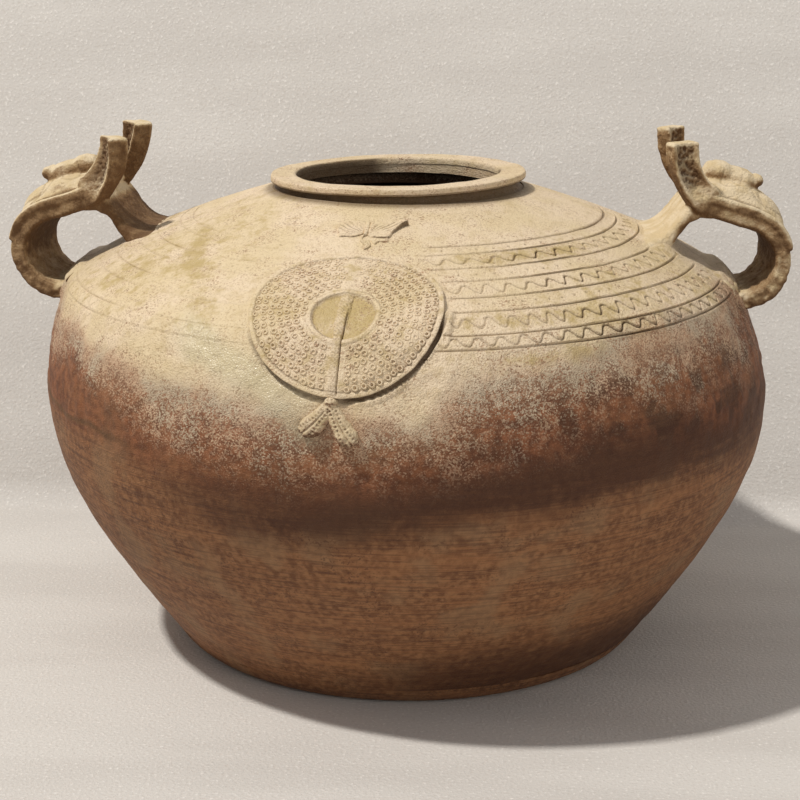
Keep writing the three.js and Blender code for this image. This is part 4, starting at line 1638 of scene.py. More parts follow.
        # The cord is wide and rubbed above and in the hollow, narrow and sharp below
        aside = u - self.band_path(v)
        wide = self.band_half + 1.0 * smooth(v, -16.0, -6.0)
        cord = np.clip(1.0 - (aside / wide) ** 2, 0.0, 1.0)
        plaits = np.sin(TAU * (v + 0.9 * aside) / self.plait)
        along = smooth(inset, 0.3, 1.5)
        fade = (1.0 - 0.55 * smooth(v, 8.0, 18.0)) * (0.85 + 0.3 * value_noise(flat, 5.0, 97))
        body = (self.band_rise + 0.7 * self.hollow_depth * bowl) * np.sqrt(cord) * fade
        top += along * np.where(cord > 0.0, body + 0.2 * plaits * np.sqrt(cord) * fade, 0.0)
        top += 0.4 * value_noise(flat, 1.3, 98) * (cord > 0.0) * bowl
        groove = np.maximum(groove, 0.3 * np.clip(-plaits, 0.0, 1.0) * (cord > 0.1) * along * fade)
        slit = smooth(np.abs(aside - self.band_half - 0.3), 0.42, 0.1) * smooth(v, 4.0, -2.0) * along
        top -= self.slit_depth * slit
        groove = np.maximum(groove, 0.65 * slit)
        corner = np.exp(-((u - 20.0) / 13.0) ** 2 - ((v - 26.0) / 11.0) ** 2)
        washed = 0.28 + 0.16 * value_noise(flat, 14.0, 99)
        pooled = 0.95 * bowl * (1.0 - 0.4 * (cord > 0.0))
        return top, groove, np.maximum.reduce([pooled, 0.6 * corner, washed])

    def build(self, finish: Material) -> None:
        """Make the disc and its stamps.

        Args:
            finish: its material.
        """
        share = np.linspace(0.0, 1.0, self.rows + 1)[1:]
        q, a = polar_grid(share, self.columns, 0.0)
        edge = self.edge(a)
        u, v = q * edge * self.place.radius * np.cos(a), q * edge * self.place.half_height * np.sin(a)
        inset = (1.0 - q) * (self.place.radius + self.place.half_height) / 2.0
        top, groove, olive = self.height(u, v, inset)
        centres = self.stamps()
        nearest = np.full(len(u), 99.0)
        for centre in centres:
            nearest = np.minimum(nearest, np.hypot(u - centre[0], v - centre[1]))
        # Each stamp is a shallow cup; painted shade darkens the cup and a line round its ring
        fresh = self.fresh(u, v)
        cup = smooth(nearest, 0.95, 0.35)
        top -= self.cup_depth * cup * fresh
        around = smooth(nearest, 2.1, 1.6) * smooth(nearest, 1.3, 1.6)
        groove = np.maximum.reduce([groove, 0.1 * cup * fresh, 0.22 * around * fresh])
        # The edge rounds over and runs down into the shoulder; at the lower right it overhangs
        last = slice((self.rows - 1) * self.columns, self.rows * self.columns)
        wander = 0.15 * value_noise(flat_places(u[last], v[last]), 5.0, 96)
        over = smooth(u[last], -8.0, 12.0) * smooth(v[last], 4.0, -10.0)
        rows = [(u, v, top, groove)]
        for out, low in self.edge_steps:
            scale = 1.0 + (out + wander - self.overhang * over * (low > 0.5)) / 43.5
            shaded = 0.12 + 0.85 * smooth(v[last], 12.0, -16.0) * (low > 0.3)
            rows.append((u[last] * scale, v[last] * scale, top[last] - low, shaded))
        centre_top = float(self.height(np.zeros(1), np.zeros(1), np.full(1, 40.0))[0][0])
        rows.append((np.zeros(2), np.zeros(2), np.array([centre_top, self.underside]), np.zeros(2)))
        u, v, height, groove = (np.concatenate(parts) for parts in zip(*rows))
        points = self.outline.wrap(u, self.place.azimuth, self.place.down - v, height)
        olive = np.concatenate([olive, np.zeros(len(points) - len(olive))])
        marks = marks_of(len(points), ash=1.0, groove=groove, olive=olive)
        faces = capped_faces(self.rows + len(self.edge_steps), self.columns)
        disc = mesh_object("stamped_disc", Skin(points, faces, marks), finish, 75.0)
        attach(disc, "root")
        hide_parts("shoulder_disc", "disc_ring", "disc_band")
        self.stamp_rings(centres, finish)
        log.info("stamped_disc: %d faces, %d stamps", len(disc.data.polygons), len(centres))

    def stamp_rings(self, centres: Array, finish: Material) -> None:
        """Make the raised rings of the stamps and press them onto the disc's face.

        Args:
            centres: middles of the stamps, across and up.
            finish: their material.
        """
        sizes = {
            "Ring Radius": self.stamp_radius * MM, "Ring Thickness": self.stamp_thickness * MM,
            "Spread": self.stamp_spread, "Seed": 3,
        }
        rings = scatter("disc_stamps", flat_places(*centres.T), sizes, finish)
        u, v, out = mesh_points(rings).T
        under, _, _ = self.height(u, v, np.maximum(43.0 - np.hypot(u, v), 4.5))
        height = under + (self.stamp_flatness * out + 0.15) * self.fresh(u, v) - 0.1
        move_points(rings, self.outline.wrap(u, self.place.azimuth, self.place.down - v, height))
        mark_points(rings, marks_of(len(u), ash=0.97))
        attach(rings, "root")


def fused(name: str, skins: list[Skin], grain: float, finish: Material, passes: int) -> Object:
    """Work overlapping lumps of clay into one closed piece.

    Args:
        name: name of the piece.
        skins: the closed lumps.
        grain: width of the new faces in millimetres.
        finish: its material.
        passes: how often the joints are smoothed over.

    Returns:
        The object as a plain mesh.
    """
    points, polygons = [], []
    for skin in skins:
        shift = sum(len(part) for part in points)
        turned = 1 if signed_volume(skin) > 0.0 else -1
        polygons += [tuple(face) for part in skin.faces for face in (part[:, ::turned] + shift).tolist()]
        points.append(skin.points)
    mesh = bpy.data.meshes.new(name)
    mesh.from_pydata((np.vstack(points) * MM).tolist(), [], polygons)
    mesh.materials.append(finish)
    thing = bpy.data.objects.new(name, mesh)
    bpy.context.scene.collection.objects.link(thing)
    remesh = thing.modifiers.new("fuse", "REMESH")
    remesh.mode = "VOXEL"
    remesh.voxel_size = grain * MM
    remesh.use_smooth_shade = True
    soften = thing.modifiers.new("soften", "SMOOTH")
    soften.factor = 0.5
    soften.iterations = passes
    return plain_mesh(thing)


def oval(half: float, low: float, high: float, square: float, count: int = 36) -> Array:
    """Section of a bar with rounded corners.

    Args:
        half: half of its width.
        low: its lowest height.
        high: its highest height.
        square: 2 for an ellipse, more for squarer corners.
        count: number of points.

    Returns:
        Points across and up.
    """
    a = np.linspace(0.0, TAU, count, endpoint=False)
    x = np.sign(np.cos(a)) * np.abs(np.cos(a)) ** (2.0 / square) * half
    y = np.sign(np.sin(a)) * np.abs(np.sin(a)) ** (2.0 / square) * (high - low) / 2.0 + (high + low) / 2.0
    return np.stack([x, y], -1)


def loft(rings: list[Array]) -> Skin:
    """A closed skin over rings of points, one after the other, with both ends closed.

    Args:
        rings: rows of points, each going round once.

    Returns:
        The closed surface.
    """
    rows = np.array(rings)
    points = np.vstack([rows.reshape(-1, 3), rows[0].mean(0), rows[-1].mean(0)])
    return Skin(points, capped_faces(rows.shape[0], rows.shape[1]))


@dataclass
class Tassels:
    """Knot below the disc and the two thick tassels that hang from it."""

    outline: JarOutline
    place: DiscPlace
    knot: tuple[float, float] = (-3.2, -44.6)
    knot_half: float = 3.1
    knot_high: float = 3.9
    knot_length: float = 2.6
    left_end: tuple[float, float] = (-16.4, -59.0)
    left_bend: float = 0.8
    right_end: tuple[float, float] = (6.0, -63.4)
    right_bend: float = -0.9
    root_half: float = 2.8
    root_height: float = 2.6
    swell: float = 5.5
    end_height: float = 6.2
    blunt_from: float = 0.64
    sink: float = 4.0
    grain: float = 0.34
    crease_depth: float = 0.55
    pit_depth: float = 0.6
    pit_pitch: float = 1.75
    bead: float = 2.2

    def tassel(self, end: tuple[float, float], bend: float) -> tuple[Skin, Array]:
        """One tassel, flat.

        Args:
            end: the middle of its blunt end.
            bend: how far its middle line bows sideways.

        Returns:
            Its skin and its middle line.
        """
        t = np.linspace(0.0, 1.0, 40)
        start, stop = np.array(self.knot) + [0.0, -0.5], np.array(end)
        along = (stop - start) / np.hypot(*(stop - start))
        side = np.array([-along[1], along[0]])
        line = start + (stop - start) * t[:, None] + side * bend * np.sin(math.pi * t[:, None])
        past = np.maximum((t - self.blunt_from) / (1.0 - self.blunt_from), 0.0)
        blunt = np.sqrt(np.clip(1.0 - past ** 2.4, 0.0, 1.0))
        half = (self.root_half + (self.swell - self.root_half) * t ** 0.7) * np.maximum(blunt, 0.12)
        high = (self.root_height + (self.end_height - self.root_height) * t ** 1.3) * (0.45 + 0.55 * blunt)
        rings = []
        for k, middle in enumerate(line):
            section = oval(half[k], -self.sink, high[k], 2.3)
            rings.append(np.column_stack([middle + side * section[:, :1], section[:, 1]]))
        return loft(rings), line

    def knot_skin(self) -> Skin:
        """The knot, flat.

        Returns:
            Its skin.
        """
        rings = []
        for z in np.linspace(-1.0, 1.0, 14):
            bulge = np.sqrt(1.0 - (z * 0.97) ** 2)
            section = oval(self.knot_half * bulge + 0.1, -self.sink, self.knot_high * bulge + 0.1, 2.4)
            up = np.full(len(section), self.knot[1] + self.knot_length * z)
            rings.append(np.column_stack([self.knot[0] + section[:, 0], up, section[:, 1]]))
        return loft(rings)

    def build(self, finish: Material) -> None:
        """Make the knot with its tassels.

        Args:
            finish: its material.
        """
        left, left_line = self.tassel(self.left_end, self.left_bend)
        right, right_line = self.tassel(self.right_end, self.right_bend)
        clay = fused("knot_and_tassels", [left, right, self.knot_skin()], self.grain, finish, 3)
        flat, normals = mesh_points(clay), mesh_normals(clay)
        push, groove = self.presses(flat, (left_line, right_line))
        # The blunt ends were torn off and stayed rough
        torn = smooth(flat[:, 1], -52.0, -57.0)
        push += (0.25 + 0.5 * torn) * rough(flat, 2.8, 3, 110)
        groove = np.maximum(groove, 0.12 + 0.3 * torn * smooth(value_noise(flat, 2.2, 111), 0.0, 0.6))
        u, v, out = (flat + normals * push[:, None]).T
        move_points(clay, self.outline.wrap(u, self.place.azimuth, self.place.down - v, out))
        # Little ash fell on what looks down, and painted shade darkens it through the dark mark
        up = smooth(mesh_normals(clay)[:, 2], -0.5, 0.15)
        ash, shade = 0.3 + 0.7 * up, 0.8 * (1 - up)
        mark_points(clay, marks_of(len(u), ash=ash, groove=groove, olive=0.1, dark=shade))
        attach(clay, "root")
        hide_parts("band_knot", "left_tassel", "right_tassel")
        log.info("knot_and_tassels: %d faces", len(clay.data.polygons))

    def presses(self, flat: Array, lines: tuple[Array, Array]) -> tuple[Array, Array]:
        """Grooves down the middles of the tassels, and pits along their edges.

        Args:
            flat: places on the flat piece.
            lines: middle lines of the tassels.

        Returns:
            Heights and marks of the grooves.
        """
        push, groove = np.zeros(len(flat)), np.zeros(len(flat))
        face = smooth(flat[:, 2], 0.8, 2.0)
        for line in lines:
            steps, run = np.diff(line, axis=0), run_along(line)
            offset = flat[:, None, :2] - line[None, :, :]
            nearest = np.argmin(np.sum(offset ** 2, -1), 1)
            along = run[nearest]
            step = unit(steps[np.minimum(nearest, len(steps) - 1)])
            near = offset[np.arange(len(flat)), nearest]
            side = step[:, 0] * near[:, 1] - step[:, 1] * near[:, 0]
            own = (np.hypot(*near.T) < self.swell + 1.0) & (along > 3.0)
            middle = smooth(np.abs(side), 0.75, 0.15) * smooth(along, 3.0, 5.0) * own * face
            row = 0.75 * np.abs(np.abs(side) - 0.58 * self.swell * np.clip(along / run[-1], 0.45, 1.0))
            beat = np.abs((along / self.pit_pitch + 0.25 * np.sign(side)) % 1.0 - 0.5) * self.pit_pitch
            pit = smooth(np.hypot(row, beat), 0.68, 0.2) * own * face
            push -= self.crease_depth * middle + self.pit_depth * pit
            groove = np.maximum(groove, np.maximum(0.4 * middle, 0.45 * pit))
        # The knot is dotted all over
        u, v = flat[:, 0] - self.knot[0], flat[:, 1] - self.knot[1]
        beads = np.hypot(u % self.bead - self.bead / 2.0, v % self.bead - self.bead / 2.0)
        pit = smooth(beads, 0.75, 0.2) * ((np.hypot(u, v) < 3.6) * face)
        return push - 0.5 * pit, np.maximum(groove, 0.5 * pit)


@dataclass
class Bow:
    """Small pressed bow above the disc, with a lifted right tip, a pit at its knot and short tails."""

    outline: JarOutline
    place: DiscPlace
    thickness: float = 1.2
    cord_rise: float = 0.5
    step: float = 0.33
    buried: float = -1.4
    underside: float = -3.0
    line_depth: float = 0.4
    line_pitch: float = 1.7
    left_wing: tuple = (
        (-16.5, 73.8), (-13.2, 62.4), (-5.6, 63.1), (-1.8, 66.0), (-1.0, 77.6), (-6.0, 79.4), (-12.0, 77.0),
    )
    right_wing: tuple = (
        (0.4, 63.6), (3.6, 63.1), (11.2, 63.1), (12.0, 67.6), (15.2, 73.4), (18.6, 76.4), (15.0, 78.6),
        (8.0, 79.2), (0.0, 78.0),
    )
    under_wing: tuple = ((0.6, 62.6), (11.0, 62.6), (11.8, 58.9), (7.0, 59.2), (5.2, 56.4), (3.4, 58.6))
    tail: tuple = (
        (0.8, 61.6), (3.2, 58.4), (3.8, 55.2), (2.6, 52.6), (0.8, 51.6), (0.4, 54.4), (-0.6, 57.4),
        (-2.4, 59.4), (-0.6, 61.2),
    )

    @staticmethod
    def inside(u: Array, v: Array, corners: tuple) -> Array:
        """Distance in from the outline of a flat shape, negative outside it.

        Args:
            u: distances across.
            v: distances up the slope.
            corners: corners of the shape, in order.

        Returns:
            The distances in millimetres.
        """
        shape = np.array(corners)
        best = np.full(u.shape, 1e9)
        within = np.zeros(u.shape, bool)
        for (ax, ay), (bx, by) in zip(shape, np.roll(shape, -1, axis=0)):
            dx, dy = bx - ax, by - ay
            t = np.clip(((u - ax) * dx + (v - ay) * dy) / (dx * dx + dy * dy), 0.0, 1.0)
            best = np.minimum(best, np.hypot(u - ax - t * dx, v - ay - t * dy))
            crossing = (ay > v) != (by > v)
            within ^= crossing & (u < ax + (v - ay) * dx / (dy if dy else 1e-9))
        return np.where(within, best, -best)

    def relief(self, u: Array, v: Array) -> tuple[Array, Array]:
        """Height of the bow and of what lies round it under the shoulder's skin.

        Args:
            u: distances across.
            v: distances up the slope.

        Returns:
            Heights and marks of the grooves.
        """
        flat = flat_places(u, v)
        wobble_u, wobble_v = 0.35 * value_noise(flat, 2.6, 120), 0.35 * value_noise(flat, 2.6, 121)
        height, groove = np.full(u.shape, self.buried), np.zeros_like(u)
        wing = self.thickness
        # Each shape with its height and the point that its pressed lines fan out from
        for corners, rise, fan in (
            (self.under_wing, 0.9, (2.0, 70.0)), (self.tail, 1.1, (1.0, 66.0)),
            (self.left_wing, wing, (0.0, 64.0)), (self.right_wing, wing, (0.0, 64.0)),
        ):
            depth = self.inside(u + wobble_u, v + wobble_v, corners)
            lifted = 1.0 + 1.5 * smooth(u, 9.0, 18.0) if corners is self.right_wing else 1.0
            shape = self.buried + (rise * lifted - self.buried) * smooth(depth, -0.35, 0.45)
            fanned = np.arctan2(v - fan[1], u - fan[0]) * 9.0 + 0.5 * value_noise(flat, 5.0, 122)
            line = smooth(np.abs(fanned % self.line_pitch - self.line_pitch / 2.0), 0.38, 0.05)
            line *= smooth(depth, 0.8, 1.8) * smooth(value_noise(flat, 6.0, 123), -0.5, 0.1)
            above = shape - self.line_depth * line > height
            groove = np.where(above, 0.55 * line, groove)
            height = np.maximum(height, shape - self.line_depth * line)
        cord = smooth(np.abs(u + 0.5 + 0.03 * (v - 66.0)), 1.35, 0.7) * smooth(v, 62.0, 64.0)
        cord *= smooth(v, 80.0, 77.0)
        height = np.maximum(height, self.buried + (self.thickness + self.cord_rise - self.buried) * cord)
        # The pit at the knot is darkened with painted shade through the groove mark
        pit = smooth(np.hypot((u - 0.2) * 1.2, (v - 62.2) * 0.75), 2.3, 1.1)
        knot = 1.2 * smooth(np.hypot(u - 0.2, v - 62.2), 3.6, 2.4) - 0.4
        height = np.maximum(np.maximum(height, knot) - 2.3 * pit, self.buried)
        height += 0.08 * value_noise(flat, 1.5, 124) * (height > 0.0)
        return height, np.maximum(groove, pit)

    def build(self, finish: Material) -> None:
        """Make the bow as one thin relief whose lower part lies in the shoulder.

        Args:
            finish: its material.
        """
        us, vs = np.arange(-19.0, 21.0, self.step), np.arange(49.0, 83.0, self.step)
        v, u = (grid.ravel() for grid in np.meshgrid(vs, us, indexing="ij"))
        height, groove = self.relief(u, v)
        columns, rows = len(us), len(vs)
        # Painted shade darkens the steep upper sides
        steep = np.gradient(height.reshape(rows, columns), self.step, axis=0).ravel()
        groove = np.maximum(groove, 0.9 * smooth(steep, 1.2, 2.6))
        out = np.concatenate([height, np.full_like(u, self.underside)])
        points = self.outline.wrap(np.tile(u, 2), self.place.azimuth, self.place.down - np.tile(v, 2), out)
        index = np.arange(rows * columns).reshape(rows, columns)
        a = index[:-1, :-1].ravel()
        top = np.stack([a, a + 1, a + 1 + columns, a + columns], -1)
        edge = np.concatenate([index[0, :-1], index[:-1, -1], index[-1, :0:-1], index[:0:-1, 0]])
        after, shift = np.roll(edge, -1), rows * columns
        sides = np.stack([edge, edge + shift, after + shift, after], -1)
        marks = marks_of(len(points), ash=0.97, groove=np.tile(groove, 2))
        skin = Skin(points, [top, top[:, ::-1] + shift, sides], marks)
        bow = mesh_object("bow_relief", skin, finish, 80.0)
        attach(bow, "root")
        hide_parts("bow_left_wing", "bow_right_wing", "bow_tails")
        log.info("bow_relief: %d faces", len(bow.data.polygons))


# Handles


class Side(Enum):
    """Which side of the jar a handle stands on."""

    RIGHT = 1
    LEFT = -1


@dataclass
class HornShape:
    """One horn: where it stands across the handle, how high it is and how it turns."""

    across: float
    rise: float
    root_turn: float
    tip_turn: float
    run: float = 18.5
    ahead: float = 9.5
    root_half: float = 8.4
    half_face: float = 7.0
    depth: float = 5.4
    groove: float = 2.8


# The front and the rear horn of each handle
HORNS = {
    Side.RIGHT: (
        HornShape(-22.8, 32.5, 86.0, 70.0),
        HornShape(21.6, 35.5, 20.0, 50.0, root_half=5.8, half_face=6.4, depth=4.6),
    ),
    Side.LEFT: (HornShape(-22.8, 32.5, 80.0, 32.0), HornShape(21.6, 35.5, 10.0, 42.0, root_half=6.2)),
}


# How far the foot of the inner leg spreads to each side
LEG_SPREAD = {Side.RIGHT: 18.0, Side.LEFT: 7.0}
# Painted shade on the inner leg and on the faces that look to the front, and how much ash lies low on the
# leg
PAINTED_SHADE_AND_LOW_ASH = {Side.RIGHT: (0.0, 0.12, 1.0), Side.LEFT: (0.9, 0.5, 0.0)}
# Seed of the noises, and where along the horn its smooth root lobe ends
GRAIN_SEED = {Side.RIGHT: (150, 9.0), Side.LEFT: (170, 4.0)}
# The snout by shares of its length: the height of its ridge, half its width, and how low its underside lies
SNOUT_AT = (0.0, 0.06, 0.22, 0.34, 0.46, 0.62, 0.76, 0.85, 0.94, 1.0)
SNOUT_RISE = (4.0, 7.4, 9.6, 10.0, 9.0, 9.6, 9.2, 8.2, 7.2, 2.8)
SNOUT_HALF = (4.0, 7.0, 9.4, 9.0, 8.0, 9.0, 9.8, 8.6, 7.6, 4.5)
SNOUT_LOW_AT, SNOUT_LOW = (0.0, 0.8, 0.9, 1.0), (9.0, 9.0, 10.5, 12.5)
# Arcs pressed round each eye and cheek: distance along the strap and radius
ARCS = ((15.5, 5.2), (34.0, 7.5), (40.0, 9.5))


@dataclass
class MaskHandle:
    """Strap loop with a pressed beast mask on top: domed cheeks, snout, eyes and two curled horns."""

    outline: JarOutline
    side: Side
    reach_out: float = 22.0
    reach_up: float = 21.0
    ahead: float = 0.5
    lift: float = 14.5
    start_degrees: float = -105.0
    tilt_degrees: float = 17.0
    toe_degrees: float = 3.7
    run_length: float = 31.0
    half_width: float = 27.0
    half_thick: float = 4.3
    strap_square: float = 9.0
    plate_low: float = 3.1
    plate_high: float = 6.7
    plate_start: float = -3.0
    plate_end: float = 53.0
    dome: float = 8.5
    border_rise: float = 1.2
    cheek_rise: float = 2.0
    jowl_rise: float = 1.3
    snout_start: float = 1.0
    snout_length: float = 30.0
    snout_base: float = 13.0
    eye_place: tuple[float, float, float] = (29.4, 3.7, 18.6)
    eye_radii: tuple[float, float, float] = (3.5, 3.5, 3.3)
    steps: int = 60
    leg_half_thick: float = 3.2
    leg_passes: int = 12
    joint_passes: int = 3
    leg_sink: float = 14.0
    web_reach: float = 9.5
    luting_half: float = 31.5
    luting_down: float = 115.5
    luting_low: float = 5.8
    luting_thick: float = 1.7
    grain: float = 0.62
    foot_up: float = 47.0

    def __post_init__(self) -> None:
        """Lay out the line of the strap in the plane across the jar."""
        turn_r, turn_z = self.outline.turn_radius, self.outline.turn_height
        self.centre = np.array([turn_r + self.ahead, turn_z + self.lift])
        tilt = math.radians(self.tilt_degrees)
        top = math.atan2(self.reach_up, self.reach_out * math.tan(tilt))
        angle = np.linspace(top, math.radians(self.start_degrees), 300)
        arc = self.centre + np.stack([self.reach_out * np.cos(angle), self.reach_up * np.sin(angle)], -1)
        run_end = arc[0]
        self.run_start = run_end + self.run_length * np.array([-math.cos(tilt), math.sin(tilt)])
        straight = self.run_start + (run_end - self.run_start) * np.linspace(0, 1, 120)[:-1, None]
        self.line = np.vstack([straight, arc])
        self.run = run_along(self.line)
        # Radii and heights of the shoulder, from the neck outwards
        self.crown = self.outline.at(np.linspace(0.0, self.outline.turn_down, 60))

    def frame_at(self, along: Array) -> tuple[Array, Array, Array]:
        """Middle, direction and outward side of the strap at distances along it.

        Args:
            along: distances along the strap.

        Returns:
            The three as rows of radius and height.
        """
        def place(at: Array) -> Array:
            """Places on the strap's line."""
            return np.stack([np.interp(at, self.run, self.line[:, k]) for k in (0, 1)], -1)

        inside = np.clip(along, 0.0, self.run[-1])
        ahead, back = np.minimum(inside + 0.5, self.run[-1]), np.maximum(inside - 0.5, 0.0)
        direction = unit(place(ahead) - place(back))
        middle = place(inside) + direction * (along - inside)[:, None]
        return middle, direction, np.stack([-direction[:, 1], direction[:, 0]], -1)

    @staticmethod
    def section_at(middle: Array, out: Array, section: Array) -> Array:
        """Places of a section set across the handle.

        Args:
            middle: radius and height of its middle.
            out: the way out, as radius and height.
            section: distances across and out, one row each.

        Returns:
            The places, one row each.
        """
        flat = middle + out * section[:, 1:]
        return np.column_stack([flat[:, 0], section[:, 0], flat[:, 1]])

    def along_strap(self, along: Array, sections: list[Array]) -> Skin:
        """A skin over sections set across the strap at distances along it.

        Args:
            along: distances along the strap.
            sections: one closed section per distance, across and out.

        Returns:
            The closed surface.
        """
        middle, _, out = self.frame_at(along)
        return loft([self.section_at(*parts) for parts in zip(middle, out, sections)])

    def eye(self, aside: int) -> Skin:
        """An eye: a small lump of clay beside the snout.

        Args:
            aside: 1 or -1, the side of the snout.

        Returns:
            The closed surface.
        """
        along, across, out = self.eye_place
        middle, _, up = self.frame_at(np.array([along]))
        flat = middle[0] + up[0] * out
        centre = np.array([flat[0], aside * across, flat[1]])
        rings = []
        for z in np.linspace(-1.0, 1.0, 13) * 0.995:
            wide, angle = np.full(20, math.sqrt(1.0 - z * z)), np.linspace(0.0, TAU, 20, endpoint=False)
            rings.append(round_axis(wide, angle, np.full(20, z)) * self.eye_radii + centre)
        return loft(rings)

    def strap(self) -> Skin:
        """The bare loop, with its edges left square by the knife.

        Returns:
            The closed surface.
        """
        along = np.linspace(0.0, self.run[-1], 90)
        section = oval(self.half_width, -self.half_thick, self.half_thick, self.strap_square, 72)
        return self.along_strap(along, [section] * len(along))

    def plate(self) -> Skin:
        """The pressed plate: domed cheeks inside a raised border.

        Returns:
            The closed surface.
        """
        across = np.linspace(1.0, -1.0, 49)
        aside, y = np.abs(across), across * (self.half_width + 0.5)
        lower = np.stack([y[::-1], np.full(len(y), self.plate_low)], -1)
        sections = []
        for t in np.linspace(0.0, 1.0, self.steps):
            dome = self.dome * math.sqrt(max(math.sin(math.pi * min(t / 0.87, 1.0)), 0.0))
            high = self.plate_high - 2.0 * t ** 4
            top = high + dome * np.cos(math.pi / 2.0 * np.clip(aside / 0.86, 0.0, 1.0) ** 1.5)
            top += self.border_rise * hill(aside, 0.93, 0.045)
            cheek = hill(aside, 0.56, 0.17) * hill(t, 0.42, 0.13)
            jowl = hill(aside, 0.46, 0.16) * hill(t, 0.68, 0.09)
            top += self.cheek_rise * cheek + self.jowl_rise * jowl
            sections.append(np.vstack([np.stack([y, top], -1), lower]))
        return self.along_strap(np.linspace(self.plate_start, self.plate_end, self.steps), sections)

    def snout(self) -> Skin:
        """The ridge of the snout: forehead, dip, nose and a blunt knob that overhangs the strap.

        Returns:
            The closed surface.
        """
        t = np.linspace(0.0, 1.0, 50)
        rise, half = np.interp(t, SNOUT_AT, SNOUT_RISE), np.interp(t, SNOUT_AT, SNOUT_HALF)
        low = np.interp(t, SNOUT_LOW_AT, SNOUT_LOW)
        sections = [oval(h, l, self.snout_base + r, 2.5, 40) for h, l, r in zip(half, low, rise)]
        return self.along_strap(self.snout_start + self.snout_length * t, sections)

    def leg(self) -> Skin:
        """The inner leg, down to its foot that spreads over the shoulder.

        Returns:
            The closed surface.
        """
        start = self.run_start + np.array([1.5, self.half_thick - 2.5])
        end_r, end_z = self.outline.at(np.array([self.outline.turn_down - self.foot_up]), -8.0)
        stop = np.array([end_r[0], end_z[0]])
        direction = (stop - start) / np.hypot(*(stop - start))
        left = np.array([-direction[1], direction[0]])
        spread, thick = LEG_SPREAD[self.side], self.leg_half_thick
        rings = []
        for t in np.linspace(0.0, 1.0, self.steps):
            flare = max((t - 0.35) / 0.65, 0.0) ** 3
            wide = self.half_width - 0.6 + spread * flare
            section = oval(wide, -thick - self.leg_sink * flare, thick + 1.2 * flare, 6.0 - 3.0 * flare, 72)
            rings.append(self.section_at(start + (stop - start) * t, left, section))
        return loft(rings)

    def web(self) -> Skin:
        """Clay worked into the corner between the run and the inner leg.

        Returns:
            The closed surface.
        """
        reach, deep = self.web_reach, self.half_thick - 0.6
        _, direction, out = self.frame_at(np.array([5.0]))
        corner = self.run_start + direction[0] * 3.0
        down_leg = np.array([-math.cos(math.radians(45.0)), -math.sin(math.radians(45.0))])
        flat = np.array([
            corner - out[0] * deep + direction[0] * reach,
            corner - out[0] * (deep + 2.2) + direction[0] * 0.5,
            corner + down_leg * (reach + 5.0),
            corner + np.array([-3.0, 1.0]),
        ])
        widths = np.linspace(-1.0, 1.0, 5) * (self.half_width - 0.8)
        return loft([np.column_stack([flat[:, 0], np.full(4, y), flat[:, 1]]) for y in widths])

    def horn_frames(self, horn: HornShape, count: int) -> tuple[Array, Array, Array]:
        """Middles of a horn, the way its hollow face looks, and the way across the face.

        Args:
            horn: sizes of the horn.
            count: how many places along it.

        Returns:
            The three as rows of X, Y and Z.
        """
        foot = self.run_start + np.array([horn.ahead, -1.0])
        shape = ((0.0, 0.0), (0.6, 0.2), (1.0, 0.5), (1.0, 1.0))
        flat = bezier([tuple(foot + (-horn.run * x, horn.rise * z)) for x, z in shape], count)
        x, z = unit(np.gradient(flat, axis=0)).T
        none = np.zeros(count)
        turn = np.radians(np.linspace(horn.root_turn, horn.tip_turn, count))[:, None]
        run, outward = np.stack([x, none, z], -1), np.stack([z, none, -x], -1)
        face = outward * np.cos(turn) + np.array([0.0, -1.0, 0.0]) * np.sin(turn)
        middle = np.stack([flat[:, 0], none + horn.across, flat[:, 1]], -1)
        return middle, face, np.cross(run, face)

    def horn(self, horn: HornShape) -> Skin:
        """A horn: a bar with a hollow face, a rounded root lobe and a flat cut tip.

        Args:
            horn: sizes of the horn.

        Returns:
            The closed surface.
        """
        count = 54
        middle, face, across = self.horn_frames(horn, count)
        t = np.linspace(0.0, 1.0, count)
        root = np.sqrt(np.clip(1.0 - np.clip(1.0 - t / 0.2, 0.0, 1.0) ** 2, 0.12, 1.0))
        half = (horn.root_half + (horn.half_face - horn.root_half) * np.minimum(t * 1.8, 1.0)) * root
        deep = (horn.depth + 0.5 * t) * root
        x = np.linspace(-1.0, 1.0, 21)
        hollow = np.cos(math.pi / 2 * np.clip(x / 0.82, -1, 1)) ** 0.8
        rings = []
        for k in range(count):
            lid = deep[k] - horn.groove * float(smooth(t[k], 0.12, 0.5)) * hollow
            back = -deep[k] * (1.0 - 0.12 * x ** 4)
            section = np.vstack([np.stack([x, lid], -1), np.stack([x[::-1] * 0.97, back], -1)])
            rings.append(middle[k] + across[k] * half[k] * section[:, :1] + face[k] * section[:, 1:])
        return loft(rings)

    def luting(self) -> Skin:
        """Clay pressed round the lower root, thick and thin as the thumb left it.

        Returns:
            A roll of clay half sunk in the shoulder, before it is torn and roughened.
        """
        across = np.linspace(-self.luting_half, self.luting_half, 90)
        seat, side = flat_places(across, np.zeros(90)), self.side.value
        thick = self.luting_thick + 1.0 * value_noise(seat, 9.0, 201 + side)
        thick += 0.5 * value_noise(seat, 3.5, 203)
        thick *= np.sqrt(np.clip(1.0 - (across / 32.0) ** 6, 0.02, 1.0))
        low = self.luting_low + 2.2 * value_noise(seat, 12.0, 205 + side)
        middle = self.luting_down + 2.5 * value_noise(seat, 10.0, 207 + side)
        around = np.linspace(0.0, TAU, 24, endpoint=False)
        rings = []
        for k, y in enumerate(across):
            lift = -0.8 + thick[k] * np.sin(around)
            radius, height = self.outline.at(middle[k] + low[k] * np.cos(around), lift)
            x = np.sqrt(np.maximum(radius ** 2 - y * y, 1.0))
            rings.append(np.column_stack([x, np.full(24, y), height]))
        return loft(rings)

